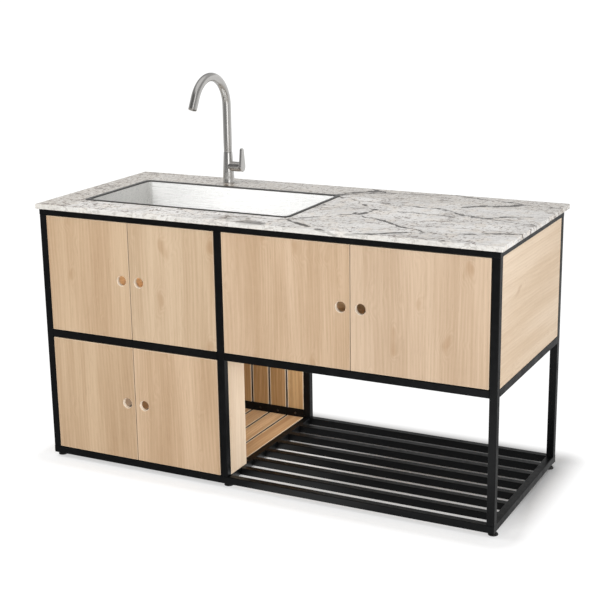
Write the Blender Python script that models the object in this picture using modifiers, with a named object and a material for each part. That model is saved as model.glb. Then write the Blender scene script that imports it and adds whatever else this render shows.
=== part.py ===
"""An outdoor kitchen base cabinet: a welded frame of square steel tube on levelling feet, inset timber
doors on concealed hinges, a slatted bay, an open shelf of bars, a stone worktop, a sink and a mixer tap.

Metres, +Z up. The origin is on the floor, under the middle of the worktop. +X runs along the front to the
right, and +Y runs from the front to the back.
"""

import math

import bmesh
import bpy
from mathutils import Matrix, Vector

# Clearances and overruns that every piece shares
GAP = 0.0003
OVERRUN = 0.005
WELD_DISTANCE = 0.00001
SCREW_MERGE = 0.00005

# Frame of square tube
FRAME_WIDTH = 1.620
FRAME_DEPTH = 0.640
TUBE = 0.025
TUBE_WALL = 0.0015
TUBE_EDGE = 0.002
TOP_RAIL_HEIGHT = 0.020
LEFT_BAY_WIDTH = 0.650
FOOT_HEIGHT = 0.015
MID_RAIL_TOP = 0.468
SHELF_BARS = 6
SHELF_BAR_INSET = 0.00025
LEDGER_THICKNESS = 0.003
LEDGER_RISE = 0.030
WELD_DEPTH = 0.001

# Levelling feet
FOOT_RADIUS = 0.016
FOOT_DISC = 0.007
FOOT_COLLAR_RADIUS = 0.010
FOOT_INSET = 0.030
FOOT_EDGE = 0.0015
FOOT_SIDES = 20

# Stone worktop
WORKTOP_HEIGHT = 0.905
WORKTOP_THICKNESS = 0.016
WORKTOP_OVERHANG = 0.010
WORKTOP_BACK_OVERHANG = 0.030
WORKTOP_CORNER = 0.003
WORKTOP_ARRIS = 0.0015

# Sink
SINK_LENGTH = 0.783
SINK_RIM = 0.012
SINK_RIM_CORNER = 0.020
SINK_WALL = 0.0012
SINK_LIP = 0.004
SINK_CORNER = 0.016
SINK_FLOOR_RADIUS = 0.018
SINK_BOWL = 0.190
SINK_FALL = 0.004
SINK_LEFT = 0.099
SINK_FRONT = 0.1155
SINK_BACK = 0.1215
SINK_CUT_CLEARANCE = 0.003
WASTE_RADIUS = 0.056
WASTE_STEP = 0.003
WASTE_BORE = 0.042
WASTE_LENGTH = 0.040
TAIL_BORE = 0.019
TAIL_LENGTH = 0.030
STRAINER_RADIUS = 0.052
STRAINER_PLATE = 0.0015
STRAINER_BASKET = 0.038
STRAINER_DEPTH = 0.022
STRAINER_KNOB = 0.007
STRAINER_KNOB_HEIGHT = 0.014
STRAINER_STEM = 0.003

# Mixer tap
TAP_FROM_LEFT = 0.397
TAP_FROM_BACK = 0.048
TAP_HOLE = 0.0175
TAP_RADIUS = 0.0203
TAP_FLANGE = 0.0215
TAP_FLANGE_HEIGHT = 0.004
TAP_SHOULDER = 0.020
TAP_NECK = 0.110
TAP_NECK_RADIUS = 0.0155
TAP_SHANK = 0.0155
TAP_SHANK_DROP = 0.018
TAP_NUT = 0.021
TAP_NUT_HEIGHT = 0.009
TAP_SIDES = 24
SPIGOT_RADIUS = 0.0105
SPIGOT_LENGTH = 0.016
SPIGOT_CLEARANCE = 0.0006
SPOUT_RADIUS = 0.015
SPOUT_ARC = 0.113
SPOUT_RISE = 0.275
SPOUT_SWEEP = math.radians(152)
SPOUT_TIP = 0.044
SPOUT_ARC_STEPS = 18
SPOUT_BORE = 0.0115
SPOUT_BORE_DEPTH = 0.010
BARREL_RADIUS = 0.0175
BARREL_REACH = 0.0515
BARREL_HEIGHT = 0.059
STEM_RADIUS = 0.006
STEM_LENGTH = 0.008
STEM_CLEARANCE = 0.0005
LEVER_THICKNESS = 0.009
LEVER_TIP_RADIUS = 0.009
LEVER_LENGTH = 0.058
LEVER_EDGE = 0.0015
LEVER_TILT = math.radians(15)
LEVER_RELIEF = math.radians(16)

# Fixed panels
PANEL = 0.016
SIDE_PANEL_SETBACK = 0.001
BACK_PANEL = 0.0135
FLOOR_PANEL = 0.012
CHEEK_DEPTH = 0.105
BOARD_EDGE = 0.0008

# Slatted floor and back of the lower left bay
SLATS = 9
SLAT_SPACING = 0.007
SLAT_MARGIN = 0.002
FLOOR_SLAT = 0.015
BACK_SLAT = 0.0147
BATTEN_WIDTH = 0.040
BATTEN_INSET_SHARE = 0.12
FLOOR_BATTEN = 0.010
BACK_BATTEN = 0.009
BATTEN_GLUE = 0.0006

# Doors
DOOR_THICKNESS = 0.018
DOOR_GAP = 0.002
DOOR_EDGE = 0.001
FINGER_HOLE = 0.0175
FINGER_CHAMFER = 0.0025
FINGER_HOLE_INSET = 0.0325
HOLE_SIDES = 32
AXIS_INSET = 0.002

# Concealed hinges
CUP_RADIUS = 0.0175
CUP_DEPTH = 0.012
CUP_INSET = 0.0225
CUP_SIDES = 24
HINGE_END_SHARE = 0.25
PLATE_THICKNESS = 0.003
PLATE_FRONT = 0.037
PLATE_LENGTH = 0.036
PLATE_HEIGHT = 0.050
ARM_BAND = 0.006
ARM_HEIGHT = 0.014
ARM_REAR = 0.075
ARM_CLEARANCE = 0.002
ARM_OVERLAP = 0.0005
ARM_TIP_OFFSET = 0.001

# Places that follow from the sizes above
LEFT = -FRAME_WIDTH / 2
RIGHT = FRAME_WIDTH / 2
FRONT = WORKTOP_OVERHANG - (WORKTOP_OVERHANG + FRAME_DEPTH + WORKTOP_BACK_OVERHANG) / 2
BACK = FRONT + FRAME_DEPTH
INSIDE_FRONT = FRONT + TUBE
INSIDE_BACK = BACK - TUBE
INSIDE_LEFT = LEFT + TUBE
INSIDE_RIGHT = RIGHT - TUBE
MIDDLE_LEFT = INSIDE_LEFT + LEFT_BAY_WIDTH
MIDDLE_RIGHT = MIDDLE_LEFT + TUBE
STONE_BOTTOM = WORKTOP_HEIGHT - WORKTOP_THICKNESS
TOP_RAIL_TOP = STONE_BOTTOM - GAP
TOP_RAIL_BOTTOM = TOP_RAIL_TOP - TOP_RAIL_HEIGHT
MID_RAIL_BOTTOM = MID_RAIL_TOP - TUBE
BOTTOM_RAIL_TOP = FOOT_HEIGHT + TUBE
FLOOR_TOP = MID_RAIL_TOP + GAP + FLOOR_PANEL
SINK_DEPTH = FRAME_DEPTH - SINK_FRONT - SINK_BACK
SLAT_WIDTH = (LEFT_BAY_WIDTH - 2 * SLAT_MARGIN - (SLATS - 1) * SLAT_SPACING) / SLATS

# Finishes: colour, roughness and metallic value
FINISHES = {
    "black_steel": ((0.012, 0.012, 0.013), 0.42, 0.0),
    "black_plastic": ((0.010, 0.010, 0.010), 0.60, 0.0),
    "pale_timber": ((0.63, 0.45, 0.28), 0.55, 0.0),
    "slat_timber": ((0.43, 0.26, 0.15), 0.60, 0.0),
    "stone": ((0.62, 0.60, 0.57), 0.18, 0.0),
    "steel_sheet": ((0.62, 0.62, 0.61), 0.22, 1.0),
    "brushed_steel": ((0.55, 0.54, 0.53), 0.28, 1.0),
    "hinge_steel": ((0.60, 0.59, 0.57), 0.30, 1.0),
}

# Which way a piece's own Z points when it runs along X, Y or Z
TURNS = (
    Matrix(((0, 0, 1), (1, 0, 0), (0, 1, 0))),
    Matrix(((0, 1, 0), (0, 0, 1), (1, 0, 0))),
    Matrix.Identity(3),
)


def start_scene():
    """Clears the scene and makes the two collections."""
    for old in list(bpy.data.objects):
        bpy.data.objects.remove(old, do_unlink=True)
    made = []
    for name in ("kitchen_base_cabinet", "cutters"):
        collection = bpy.data.collections.new(name)
        bpy.context.scene.collection.children.link(collection)
        made.append(collection)
    return made


def make_materials():
    """One Principled material for each finish."""
    made = {}
    for name, (colour, roughness, metallic) in FINISHES.items():
        material = bpy.data.materials.new(name)
        material.use_nodes = True
        shader = material.node_tree.nodes["Principled BSDF"]
        shader.inputs["Base Color"].default_value = (*colour, 1)
        shader.inputs["Roughness"].default_value = roughness
        shader.inputs["Metallic"].default_value = metallic
        material.diffuse_color = (*colour, 1)
        made[name] = material
    return made


PIECES, CUTTERS = start_scene()
MATERIALS = make_materials()


def piece(name, mesh, finish, place=(0, 0, 0)):
    """A named piece of the cabinet with its finish."""
    made = bpy.data.objects.new(name, mesh)
    made.location = place
    mesh.materials.clear()
    mesh.materials.append(MATERIALS[finish])
    PIECES.objects.link(made)
    return made


def helper(name, mesh, carrier=None, place=(0, 0, 0)):
    """A cutter or a part to be joined, shown as wire and left out of the model."""
    made = bpy.data.objects.new(name, mesh)
    made.location = place
    made.parent = carrier
    made.hide_render = True
    made.display_type = "WIRE"
    CUTTERS.objects.link(made)
    return made


def combine(target, operation, other):
    """Joins or cuts a piece with a helper."""
    modifier = target.modifiers.new(other.name, "BOOLEAN")
    modifier.operation = operation
    modifier.solver = "EXACT"
    modifier.object = other


def bevel(target, width, segments=1):
    """Rounds or chamfers the sharp edges of a piece."""
    modifier = target.modifiers.new("edges", "BEVEL")
    modifier.width = width
    modifier.segments = segments
    modifier.limit_method = "ANGLE"


def box_mesh(name, corners):
    """Closed boxes, each between a low and a high corner."""
    mesh = bpy.data.meshes.new(name)
    shape = bmesh.new()
    for low, high in corners:
        low, high = Vector(low), Vector(high)
        scale = Matrix.Diagonal((*(high - low), 1))
        bmesh.ops.create_cube(shape, size=1, matrix=Matrix.Translation((low + high) / 2) @ scale)
    shape.to_mesh(mesh)
    shape.free()
    return mesh


def board(name, low, high, finish, edge=BOARD_EDGE):
    """A flat board between two corners, with its arrises taken off."""
    centre = (Vector(low) + Vector(high)) / 2
    made = piece(name, box_mesh(name, [(Vector(low) - centre, Vector(high) - centre)]), finish, centre)
    bevel(made, edge)
    return made


def rounded_rectangle(width, height, radius, steps):
    """Points round a rectangle with quarter-circle corners, anticlockwise."""
    points = []
    for corner, (across, up) in enumerate(((1, -1), (1, 1), (-1, 1), (-1, -1))):
        centre = Vector((across * (width / 2 - radius), up * (height / 2 - radius)))
        for step in range(steps + 1):
            angle = (corner - 1 + step / steps) * math.pi / 2
            points.append(centre + radius * Vector((math.cos(angle), math.sin(angle))))
    return points


def circle(radius, sides, centre=(0, 0)):
    """Points round a circle, anticlockwise."""
    turns = [2 * math.pi * side / sides for side in range(sides)]
    return [Vector(centre) + radius * Vector((math.cos(turn), math.sin(turn))) for turn in turns]


def outline_mesh(name, outlines, thickness):
    """A flat outline with its holes, given a thickness about its own plane, as one welded mesh."""
    curve = bpy.data.curves.new(name, "CURVE")
    curve.dimensions = "2D"
    curve.fill_mode = "BOTH"
    curve.extrude = thickness / 2
    for outline in outlines:
        spline = curve.splines.new("POLY")
        spline.points.add(len(outline) - 1)
        for point, (across, up) in zip(spline.points, outline):
            point.co = (across, up, 0, 1)
        spline.use_cyclic_u = True
    guide = bpy.data.objects.new(name, curve)
    CUTTERS.objects.link(guide)
    mesh = bpy.data.meshes.new_from_object(guide.evaluated_get(bpy.context.evaluated_depsgraph_get()))
    bpy.data.objects.remove(guide, do_unlink=True)
    shape = bmesh.new()
    shape.from_mesh(mesh)
    bmesh.ops.remove_doubles(shape, verts=shape.verts, dist=WELD_DISTANCE)
    bmesh.ops.recalc_face_normals(shape, faces=shape.faces)
    shape.to_mesh(mesh)
    shape.free()
    return mesh


def turned_mesh(name, profile):
    """The half profile of a turned shape, from its top to its bottom, as (radius, height)."""
    mesh = bpy.data.meshes.new(name)
    points = [(radius, 0, height) for radius, height in profile]
    mesh.from_pydata(points, [(first, first + 1) for first in range(len(points) - 1)], [])
    return mesh


def turn(target, sides):
    """Spins a half profile about the piece's own Z."""
    modifier = target.modifiers.new("turn", "SCREW")
    modifier.steps = sides
    modifier.render_steps = sides
    modifier.use_merge_vertices = True
    modifier.merge_threshold = SCREW_MERGE
    modifier.use_smooth_shade = False


def section_of(low, high):
    """The axis that a bar runs along, its section in the order of the turned axes, and its length."""
    size = Vector(high) - Vector(low)
    axis = max(range(3), key=lambda index: size[index])
    return axis, size[(axis + 1) % 3], size[(axis + 2) % 3], size[axis]


def tube_mesh(name, low, high):
    """A length of square tube, with rounded long edges and open ends, along its own Z."""
    axis, width, height, length = section_of(low, high)
    outside = rounded_rectangle(width, height, TUBE_EDGE, 2)
    bore_x = width / 2 - TUBE_WALL
    bore_y = height / 2 - TUBE_WALL
    bore = [Vector((-bore_x, -bore_y)), Vector((bore_x, -bore_y)), Vector((bore_x, bore_y)), Vector((-bore_x, bore_y))]
    return axis, outline_mesh(name, [outside, bore], length)


def tube(name, low, high):
    """A piece of the frame: square tube between two corners."""
    axis, mesh = tube_mesh(name, low, high)
    made = piece(name, mesh, "black_steel", (Vector(low) + Vector(high)) / 2)
    made.rotation_euler = TURNS[axis].to_euler()
    return made


def bar_mesh(name, spans, inset):
    """Several parallel bars in one mesh: the outside of the tube, or its bore where inset is the wall."""
    joined = bmesh.new()
    for low, high in spans:
        axis, width, height, length = section_of(low, high)
        radius = max(TUBE_EDGE - inset, SHELF_BAR_INSET)
        outline = rounded_rectangle(width - 2 * inset, height - 2 * inset, radius, 2)
        mesh = outline_mesh(name, [outline], length)
        mesh.transform(Matrix.Translation((Vector(low) + Vector(high)) / 2) @ TURNS[axis].to_4x4())
        joined.from_mesh(mesh)
        bpy.data.meshes.remove(mesh)
    mesh = bpy.data.meshes.new(name)
    joined.to_mesh(mesh)
    joined.free()
    return mesh


def make_posts():
    """Six posts between the bottom rails and the top rails. The back middle one carries the cross rail."""
    for row, near in (("front", FRONT), ("back", INSIDE_BACK)):
        for column, side in (("left", LEFT), ("middle", MIDDLE_LEFT), ("right", INSIDE_RIGHT)):
            low = (side, near, BOTTOM_RAIL_TOP + GAP)
            high = (side + TUBE, near + TUBE, TOP_RAIL_BOTTOM - GAP)
            if (row, column) == ("back", "middle"):
                make_braced_post(low, high)
            else:
                tube(f"{row}_{column}_post", low, high)


def make_braced_post(low, high):
    """The back middle post, with the cross rail under the cupboard floor welded to it."""
    post = piece("back_middle_post", bar_mesh("back_middle_post", [(low, high)], 0), "black_steel")
    rail_low = Vector((MIDDLE_LEFT + SHELF_BAR_INSET, INSIDE_FRONT + GAP, MID_RAIL_BOTTOM))
    rail_high = Vector((MIDDLE_RIGHT - SHELF_BAR_INSET, INSIDE_BACK + TUBE / 2, MID_RAIL_TOP))
    combine(post, "UNION", helper("cross_rail", bar_mesh("cross_rail", [(rail_low, rail_high)], 0)))
    end = Vector((0, 0, OVERRUN))
    bore = bar_mesh("post_bore", [(Vector(low) - end, Vector(high) + end)], TUBE_WALL)
    combine(post, "DIFFERENCE", helper("post_bore", bore))
    rail_bore = bar_mesh("cross_rail_bore", [(rail_low - Vector((0, OVERRUN, 0)), rail_high)], TUBE_WALL)
    combine(post, "DIFFERENCE", helper("cross_rail_bore", rail_bore))


def make_long_rails():
    """Top, middle and bottom rails along the front and the back."""
    for row, near in (("front", FRONT), ("back", INSIDE_BACK)):
        far = near + TUBE
        tube(f"{row}_top_rail", (LEFT, near, TOP_RAIL_BOTTOM), (RIGHT, far, TOP_RAIL_TOP))
        left_span = (INSIDE_LEFT + GAP, MIDDLE_LEFT - GAP)
        right_span = (MIDDLE_RIGHT + GAP, INSIDE_RIGHT - GAP)
        for bay, (start, end) in (("left", left_span), ("right", right_span)):
            name = f"{row}_{bay}_mid_rail"
            tube(name, (start, near, MID_RAIL_BOTTOM), (end, far, MID_RAIL_TOP))
    tube("front_bottom_rail", (LEFT, FRONT, FOOT_HEIGHT), (RIGHT, INSIDE_FRONT, BOTTOM_RAIL_TOP))
    make_back_bottom_rail()


def make_back_bottom_rail():
    """The back bottom rail with the flat ledger that the back slats are screwed to."""
    low = (LEFT, INSIDE_BACK, FOOT_HEIGHT)
    high = (RIGHT, BACK, BOTTOM_RAIL_TOP)
    rail = piece("back_bottom_rail", bar_mesh("back_bottom_rail", [(low, high)], 0), "black_steel")
    ledger_low = (INSIDE_LEFT + GAP, INSIDE_BACK - LEDGER_THICKNESS, BOTTOM_RAIL_TOP - TUBE / 2)
    ledger_high = (MIDDLE_LEFT - GAP, INSIDE_BACK + WELD_DEPTH, BOTTOM_RAIL_TOP + LEDGER_RISE)
    combine(rail, "UNION", helper("ledger", box_mesh("ledger", [(ledger_low, ledger_high)])))
    end = Vector((OVERRUN, 0, 0))
    bore = bar_mesh("back_rail_bore", [(Vector(low) - end, Vector(high) + end)], TUBE_WALL)
    combine(rail, "DIFFERENCE", helper("back_rail_bore", bore))


def make_side_rails():
    """Rails from the front to the back at the two ends."""
    near = INSIDE_FRONT + GAP
    far = INSIDE_BACK - GAP
    for side, start in (("left", LEFT), ("right", INSIDE_RIGHT)):
        tube(f"{side}_top_rail", (start, near, TOP_RAIL_BOTTOM), (start + TUBE, far, TOP_RAIL_TOP))
        tube(f"{side}_mid_rail", (start, near, MID_RAIL_BOTTOM), (start + TUBE, far, MID_RAIL_TOP))
    tube("left_bottom_rail", (LEFT, near, FOOT_HEIGHT), (INSIDE_LEFT, far, BOTTOM_RAIL_TOP))


def make_shelf():
    """The open shelf: two cross rails with bars welded between them, hollow all through."""
    near = INSIDE_FRONT + GAP
    far = INSIDE_BACK - GAP
    rails = []
    for start in (MIDDLE_LEFT, INSIDE_RIGHT):
        rails.append((Vector((start, near, FOOT_HEIGHT)), Vector((start + TUBE, far, BOTTOM_RAIL_TOP))))
    pitch = (FRAME_DEPTH - TUBE) / (SHELF_BARS + 1)
    bars = []
    for number in range(1, SHELF_BARS + 1):
        front = FRONT + number * pitch
        low = Vector((MIDDLE_LEFT + TUBE / 2, front, FOOT_HEIGHT + SHELF_BAR_INSET))
        high = Vector((RIGHT - TUBE / 2, front + TUBE, BOTTOM_RAIL_TOP - SHELF_BAR_INSET))
        bars.append((low, high))
    shelf = piece("shelf_grid", bar_mesh("shelf_grid", rails, 0), "black_steel")
    combine(shelf, "UNION", helper("shelf_bars", bar_mesh("shelf_bars", bars, 0)))
    end = Vector((0, OVERRUN, 0))
    rail_bores = bar_mesh("shelf_rail_bores", [(low - end, high + end) for low, high in rails], TUBE_WALL)
    combine(shelf, "DIFFERENCE", helper("shelf_rail_bores", rail_bores))
    bar_bores = bar_mesh("shelf_bar_bores", bars, TUBE_WALL)
    combine(shelf, "DIFFERENCE", helper("shelf_bar_bores", bar_bores))


def make_feet():
    """Six levelling feet under the ends of the cross rails."""
    profile = [
        (0, FOOT_HEIGHT - GAP),
        (FOOT_COLLAR_RADIUS, FOOT_HEIGHT - GAP),
        (FOOT_COLLAR_RADIUS, FOOT_DISC),
        (FOOT_RADIUS - FOOT_EDGE, FOOT_DISC),
        (FOOT_RADIUS, FOOT_DISC - FOOT_EDGE),
        (FOOT_RADIUS, FOOT_EDGE),
        (FOOT_RADIUS - FOOT_EDGE, 0),
        (0, 0),
    ]
    columns = {"left": LEFT, "middle": MIDDLE_LEFT, "right": INSIDE_RIGHT}
    for row, depth in (("front", FRONT + FOOT_INSET), ("back", BACK - FOOT_INSET)):
        for column, start in columns.items():
            name = f"{row}_{column}_foot"
            place = (start + TUBE / 2, depth, 0)
            turn(piece(name, turned_mesh(name, profile), "black_plastic", place), FOOT_SIDES)


def sink_centre():
    """The middle of the sink in plan."""
    across = LEFT + SINK_LEFT + SINK_LENGTH / 2
    return Vector((across, FRONT + SINK_FRONT + SINK_DEPTH / 2))


def tap_place():
    """The middle of the tap's foot on the stone."""
    return Vector((LEFT + TAP_FROM_LEFT, BACK - TAP_FROM_BACK, WORKTOP_HEIGHT))


def make_worktop():
    """One slab with a cut-out for the bowl and a hole for the tap."""
    width = FRAME_WIDTH + 2 * WORKTOP_OVERHANG
    depth = FRAME_DEPTH + WORKTOP_OVERHANG + WORKTOP_BACK_OVERHANG
    outside = rounded_rectangle(width, depth, WORKTOP_CORNER, 2)
    cut_length = SINK_LENGTH - 2 * SINK_RIM + 2 * SINK_CUT_CLEARANCE
    cut_depth = SINK_DEPTH - 2 * SINK_RIM + 2 * SINK_CUT_CLEARANCE
    bowl = [point + sink_centre() for point in rounded_rectangle(cut_length, cut_depth, SINK_CORNER, 4)]
    hole = circle(TAP_HOLE, TAP_SIDES, tap_place().xy)
    mesh = outline_mesh("worktop", [outside, bowl, hole], WORKTOP_THICKNESS)
    place = (0, 0, WORKTOP_HEIGHT - WORKTOP_THICKNESS / 2)
    bevel(piece("worktop", mesh, "stone", place), WORKTOP_ARRIS)


def ring_circle(radius, count):
    """A circle with as many points as a rounded rectangle, starting in step with it."""
    turns = [(point + 1 / 2) * 2 * math.pi / count - math.pi / 2 for point in range(count)]
    return [Vector((radius * math.cos(turn), radius * math.sin(turn))) for turn in turns]


def sink_rings():
    """The rings of the sheet from the rim's edge down to the end of the waste's tail, with their heights."""
    steps = 6
    count = 4 * (steps + 1)
    rim = WORKTOP_HEIGHT + GAP + SINK_WALL
    floor = rim - SINK_BOWL
    bowl_length = SINK_LENGTH - 2 * SINK_RIM
    bowl_depth = SINK_DEPTH - 2 * SINK_RIM
    rings = [(rounded_rectangle(SINK_LENGTH, SINK_DEPTH, SINK_RIM_CORNER, steps), rim)]
    for step in range(4):
        angle = step / 3 * math.pi / 2
        draw = 2 * SINK_LIP * math.sin(angle)
        corner = SINK_CORNER + SINK_LIP - SINK_LIP * math.sin(angle)
        outline = rounded_rectangle(bowl_length - draw, bowl_depth - draw, corner, steps)
        rings.append((outline, rim - SINK_LIP + SINK_LIP * math.cos(angle)))
    inside_length = bowl_length - 2 * SINK_LIP
    inside_depth = bowl_depth - 2 * SINK_LIP
    for step in range(5):
        angle = step / 4 * math.pi / 2
        draw = 2 * SINK_FLOOR_RADIUS * (1 - math.cos(angle))
        corner = SINK_CORNER + (SINK_FLOOR_RADIUS - SINK_CORNER / 2) * (1 - math.cos(angle))
        outline = rounded_rectangle(inside_length - draw, inside_depth - draw, corner, steps)
        rings.append((outline, floor + SINK_FLOOR_RADIUS * (1 - math.sin(angle))))
    rings.append((ring_circle(WASTE_RADIUS + SINK_LIP, count), floor - SINK_FALL))
    rings.append((ring_circle(WASTE_RADIUS, count), waste_seat()))
    rings.append((ring_circle(WASTE_BORE, count), waste_seat()))
    rings.append((ring_circle(WASTE_BORE, count), waste_seat() - WASTE_LENGTH))
    rings.append((ring_circle(TAIL_BORE, count), waste_seat() - WASTE_LENGTH))
    rings.append((ring_circle(TAIL_BORE, count), waste_seat() - WASTE_LENGTH - TAIL_LENGTH))
    return rings


def waste_seat():
    """The height of the flat ring that the strainer sits on."""
    return WORKTOP_HEIGHT + GAP + SINK_WALL - SINK_BOWL - SINK_FALL - WASTE_STEP


def make_sink():
    """A sheet steel bowl, lofted from rounded rectangles to the round waste and given its wall."""
    mesh = bpy.data.meshes.new("sink")
    shape = bmesh.new()
    previous = None
    for outline, height in sink_rings():
        ring = [shape.verts.new((across, up, height)) for across, up in outline]
        if previous:
            for index in range(len(ring)):
                after = (index + 1) % len(ring)
                shape.faces.new((previous[index], previous[after], ring[after], ring[index]))
        previous = ring
    bmesh.ops.recalc_face_normals(shape, faces=shape.faces)
    shape.to_mesh(mesh)
    shape.free()
    sink = piece("sink", mesh, "steel_sheet", (*sink_centre(), 0))
    wall = sink.modifiers.new("wall", "SOLIDIFY")
    wall.thickness = SINK_WALL
    wall.offset = sheet_side(mesh)
    wall.use_even_offset = True
    sink.data.shade_smooth()
    sink.data.set_sharp_from_angle(angle=math.radians(30))


def sheet_side(mesh):
    """Solidify's offset that puts the wall below the rim: -1 where the rim's normals point up."""
    return -1 if mesh.polygons[0].normal.z > 0 else 1


def make_strainer():
    """The basket that lifts out of the waste by its knob."""
    seat = GAP
    plate_top = seat + STRAINER_PLATE
    basket_floor = seat - STRAINER_DEPTH
    profile = [
        (0, seat + STRAINER_KNOB_HEIGHT),
        (STRAINER_KNOB, seat + STRAINER_KNOB_HEIGHT),
        (STRAINER_KNOB, seat + STRAINER_KNOB_HEIGHT - STRAINER_KNOB),
        (STRAINER_STEM, seat + STRAINER_KNOB_HEIGHT - STRAINER_KNOB),
        (STRAINER_STEM, basket_floor + STRAINER_PLATE),
        (STRAINER_BASKET - STRAINER_PLATE, basket_floor + STRAINER_PLATE),
        (STRAINER_BASKET - STRAINER_PLATE, plate_top),
        (STRAINER_RADIUS, plate_top),
        (STRAINER_RADIUS, seat),
        (STRAINER_BASKET, seat),
        (STRAINER_BASKET, basket_floor),
        (0, basket_floor),
    ]
    place = (*sink_centre(), waste_seat())
    turn(piece("sink_strainer", turned_mesh("sink_strainer", profile), "steel_sheet", place), TAP_SIDES)


def make_tap_body():
    """The tap's column, clamped through the stone by a nut, with the side barrel of its cartridge."""
    under = WORKTOP_THICKNESS + GAP
    profile = [
        (0, TAP_NECK),
        (TAP_NECK_RADIUS, TAP_NECK),
        (TAP_RADIUS, TAP_SHOULDER),
        (TAP_RADIUS, TAP_FLANGE_HEIGHT + GAP),
        (TAP_FLANGE, TAP_FLANGE_HEIGHT / 2 + GAP),
        (TAP_FLANGE, GAP),
        (TAP_SHANK, GAP),
        (TAP_SHANK, -under),
        (TAP_NUT, -under),
        (TAP_NUT, -under - TAP_NUT_HEIGHT),
        (TAP_SHANK, -under - TAP_NUT_HEIGHT),
        (TAP_SHANK, -under - TAP_SHANK_DROP),
        (0, -under - TAP_SHANK_DROP),
    ]
    body = piece("tap_body", turned_mesh("tap_body", profile), "brushed_steel", tap_place())
    turn(body, TAP_SIDES)
    barrel = helper("barrel", barrel_mesh("barrel", BARREL_RADIUS, 0, BARREL_REACH), body)
    combine(body, "UNION", barrel)
    bore_start = BARREL_REACH - STEM_LENGTH - GAP
    stem_hole = barrel_mesh("stem_hole", STEM_RADIUS + STEM_CLEARANCE, bore_start, BARREL_REACH + OVERRUN)
    combine(body, "DIFFERENCE", helper("stem_hole", stem_hole, body))
    socket_radius = SPIGOT_RADIUS + SPIGOT_CLEARANCE
    socket_depth = SPIGOT_LENGTH + GAP
    socket = upright_mesh("spout_socket", socket_radius, TAP_NECK - socket_depth, TAP_NECK + OVERRUN)
    combine(body, "DIFFERENCE", helper("spout_socket", socket, body))


def upright_mesh(name, radius, low, high):
    """A cylinder about Z between two heights."""
    mesh = bpy.data.meshes.new(name)
    shape = bmesh.new()
    place = Matrix.Translation((0, 0, (low + high) / 2))
    bmesh.ops.create_cone(
        shape, cap_ends=True, segments=TAP_SIDES, radius1=radius, radius2=radius, depth=high - low, matrix=place
    )
    shape.to_mesh(mesh)
    shape.free()
    return mesh


def barrel_mesh(name, radius, start, end):
    """A cylinder along X at the height of the tap's barrel."""
    mesh = upright_mesh(name, radius, start, end)
    mesh.transform(Matrix.Translation((0, 0, BARREL_HEIGHT)) @ TURNS[0].to_4x4())
    return mesh


def spout_path():
    """The centre line of the spout from its swivel: straight up, round the arc and down to the tip."""
    rise = SPOUT_RISE - TAP_NECK
    points = [Vector((0, 0, GAP)), Vector((0, 0, rise / 2))]
    for step in range(SPOUT_ARC_STEPS + 1):
        angle = SPOUT_SWEEP * step / SPOUT_ARC_STEPS
        forward = SPOUT_ARC - SPOUT_ARC * math.cos(angle)
        points.append(Vector((0, -forward, rise + SPOUT_ARC * math.sin(angle))))
    points.append(points[-1] + SPOUT_TIP * spout_direction())
    return points


def spout_direction():
    """Which way the water leaves."""
    return Vector((0, -math.sin(SPOUT_SWEEP), math.cos(SPOUT_SWEEP)))


def make_spout():
    """A bent tube that swivels in the tap's neck, with an open end for the aerator."""
    curve = bpy.data.curves.new("spout_line", "CURVE")
    curve.dimensions = "3D"
    curve.bevel_depth = SPOUT_RADIUS
    curve.bevel_resolution = 3
    curve.use_fill_caps = True
    spline = curve.splines.new("POLY")
    path = spout_path()
    spline.points.add(len(path) - 1)
    for point, place in zip(spline.points, path):
        point.co = (*place, 1)
    guide = bpy.data.objects.new("spout_line", curve)
    CUTTERS.objects.link(guide)
    mesh = bpy.data.meshes.new_from_object(guide.evaluated_get(bpy.context.evaluated_depsgraph_get()))
    bpy.data.objects.remove(guide, do_unlink=True)
    shape = bmesh.new()
    shape.from_mesh(mesh)
    bmesh.ops.remove_doubles(shape, verts=shape.verts, dist=WELD_DISTANCE)
    bmesh.ops.recalc_face_normals(shape, faces=shape.faces)
    shape.to_mesh(mesh)
    shape.free()
    spout = piece("tap_spout", mesh, "brushed_steel", tap_place() + Vector((0, 0, TAP_NECK)))
    spigot = upright_mesh("spigot", SPIGOT_RADIUS, -SPIGOT_LENGTH, SPIGOT_LENGTH)
    combine(spout, "UNION", helper("spigot", spigot, spout))
    mouth = upright_mesh("spout_mouth", SPOUT_BORE, -SPOUT_BORE_DEPTH, OVERRUN)
    aim = Vector((0, 0, 1)).rotation_difference(spout_direction()).to_matrix().to_4x4()
    mesh_place = Matrix.Translation(path[-1]) @ aim
    mouth.transform(mesh_place)
    combine(spout, "DIFFERENCE", helper("spout_mouth", mouth, spout))


def barrel_end():
    """The middle of the barrel's open end."""
    return tap_place() + Vector((BARREL_REACH, 0, BARREL_HEIGHT))


def make_tap_stem():
    """The cartridge's stem, which turns in the barrel and carries the lever."""
    mesh = upright_mesh("tap_stem", STEM_RADIUS, GAP - STEM_LENGTH, GAP)
    stem = piece("tap_stem", mesh, "brushed_steel", barrel_end())
    stem.rotation_euler = TURNS[0].to_euler()


def lever_outline():
    """A round foot as wide as the barrel, drawn in along two tangents to a small round tip."""
    lean = math.asin((BARREL_RADIUS - LEVER_TIP_RADIUS) / LEVER_LENGTH)
    steps = 10
    points = []
    for radius, centre, start, end in (
        (LEVER_TIP_RADIUS, LEVER_LENGTH, lean, math.pi - lean),
        (BARREL_RADIUS, 0, math.pi - lean, 2 * math.pi + lean),
    ):
        for step in range(steps + 1):
            angle = start + (end - start) * step / steps
            points.append(Vector((radius * math.cos(angle), centre + radius * math.sin(angle))))
    return points


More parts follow.
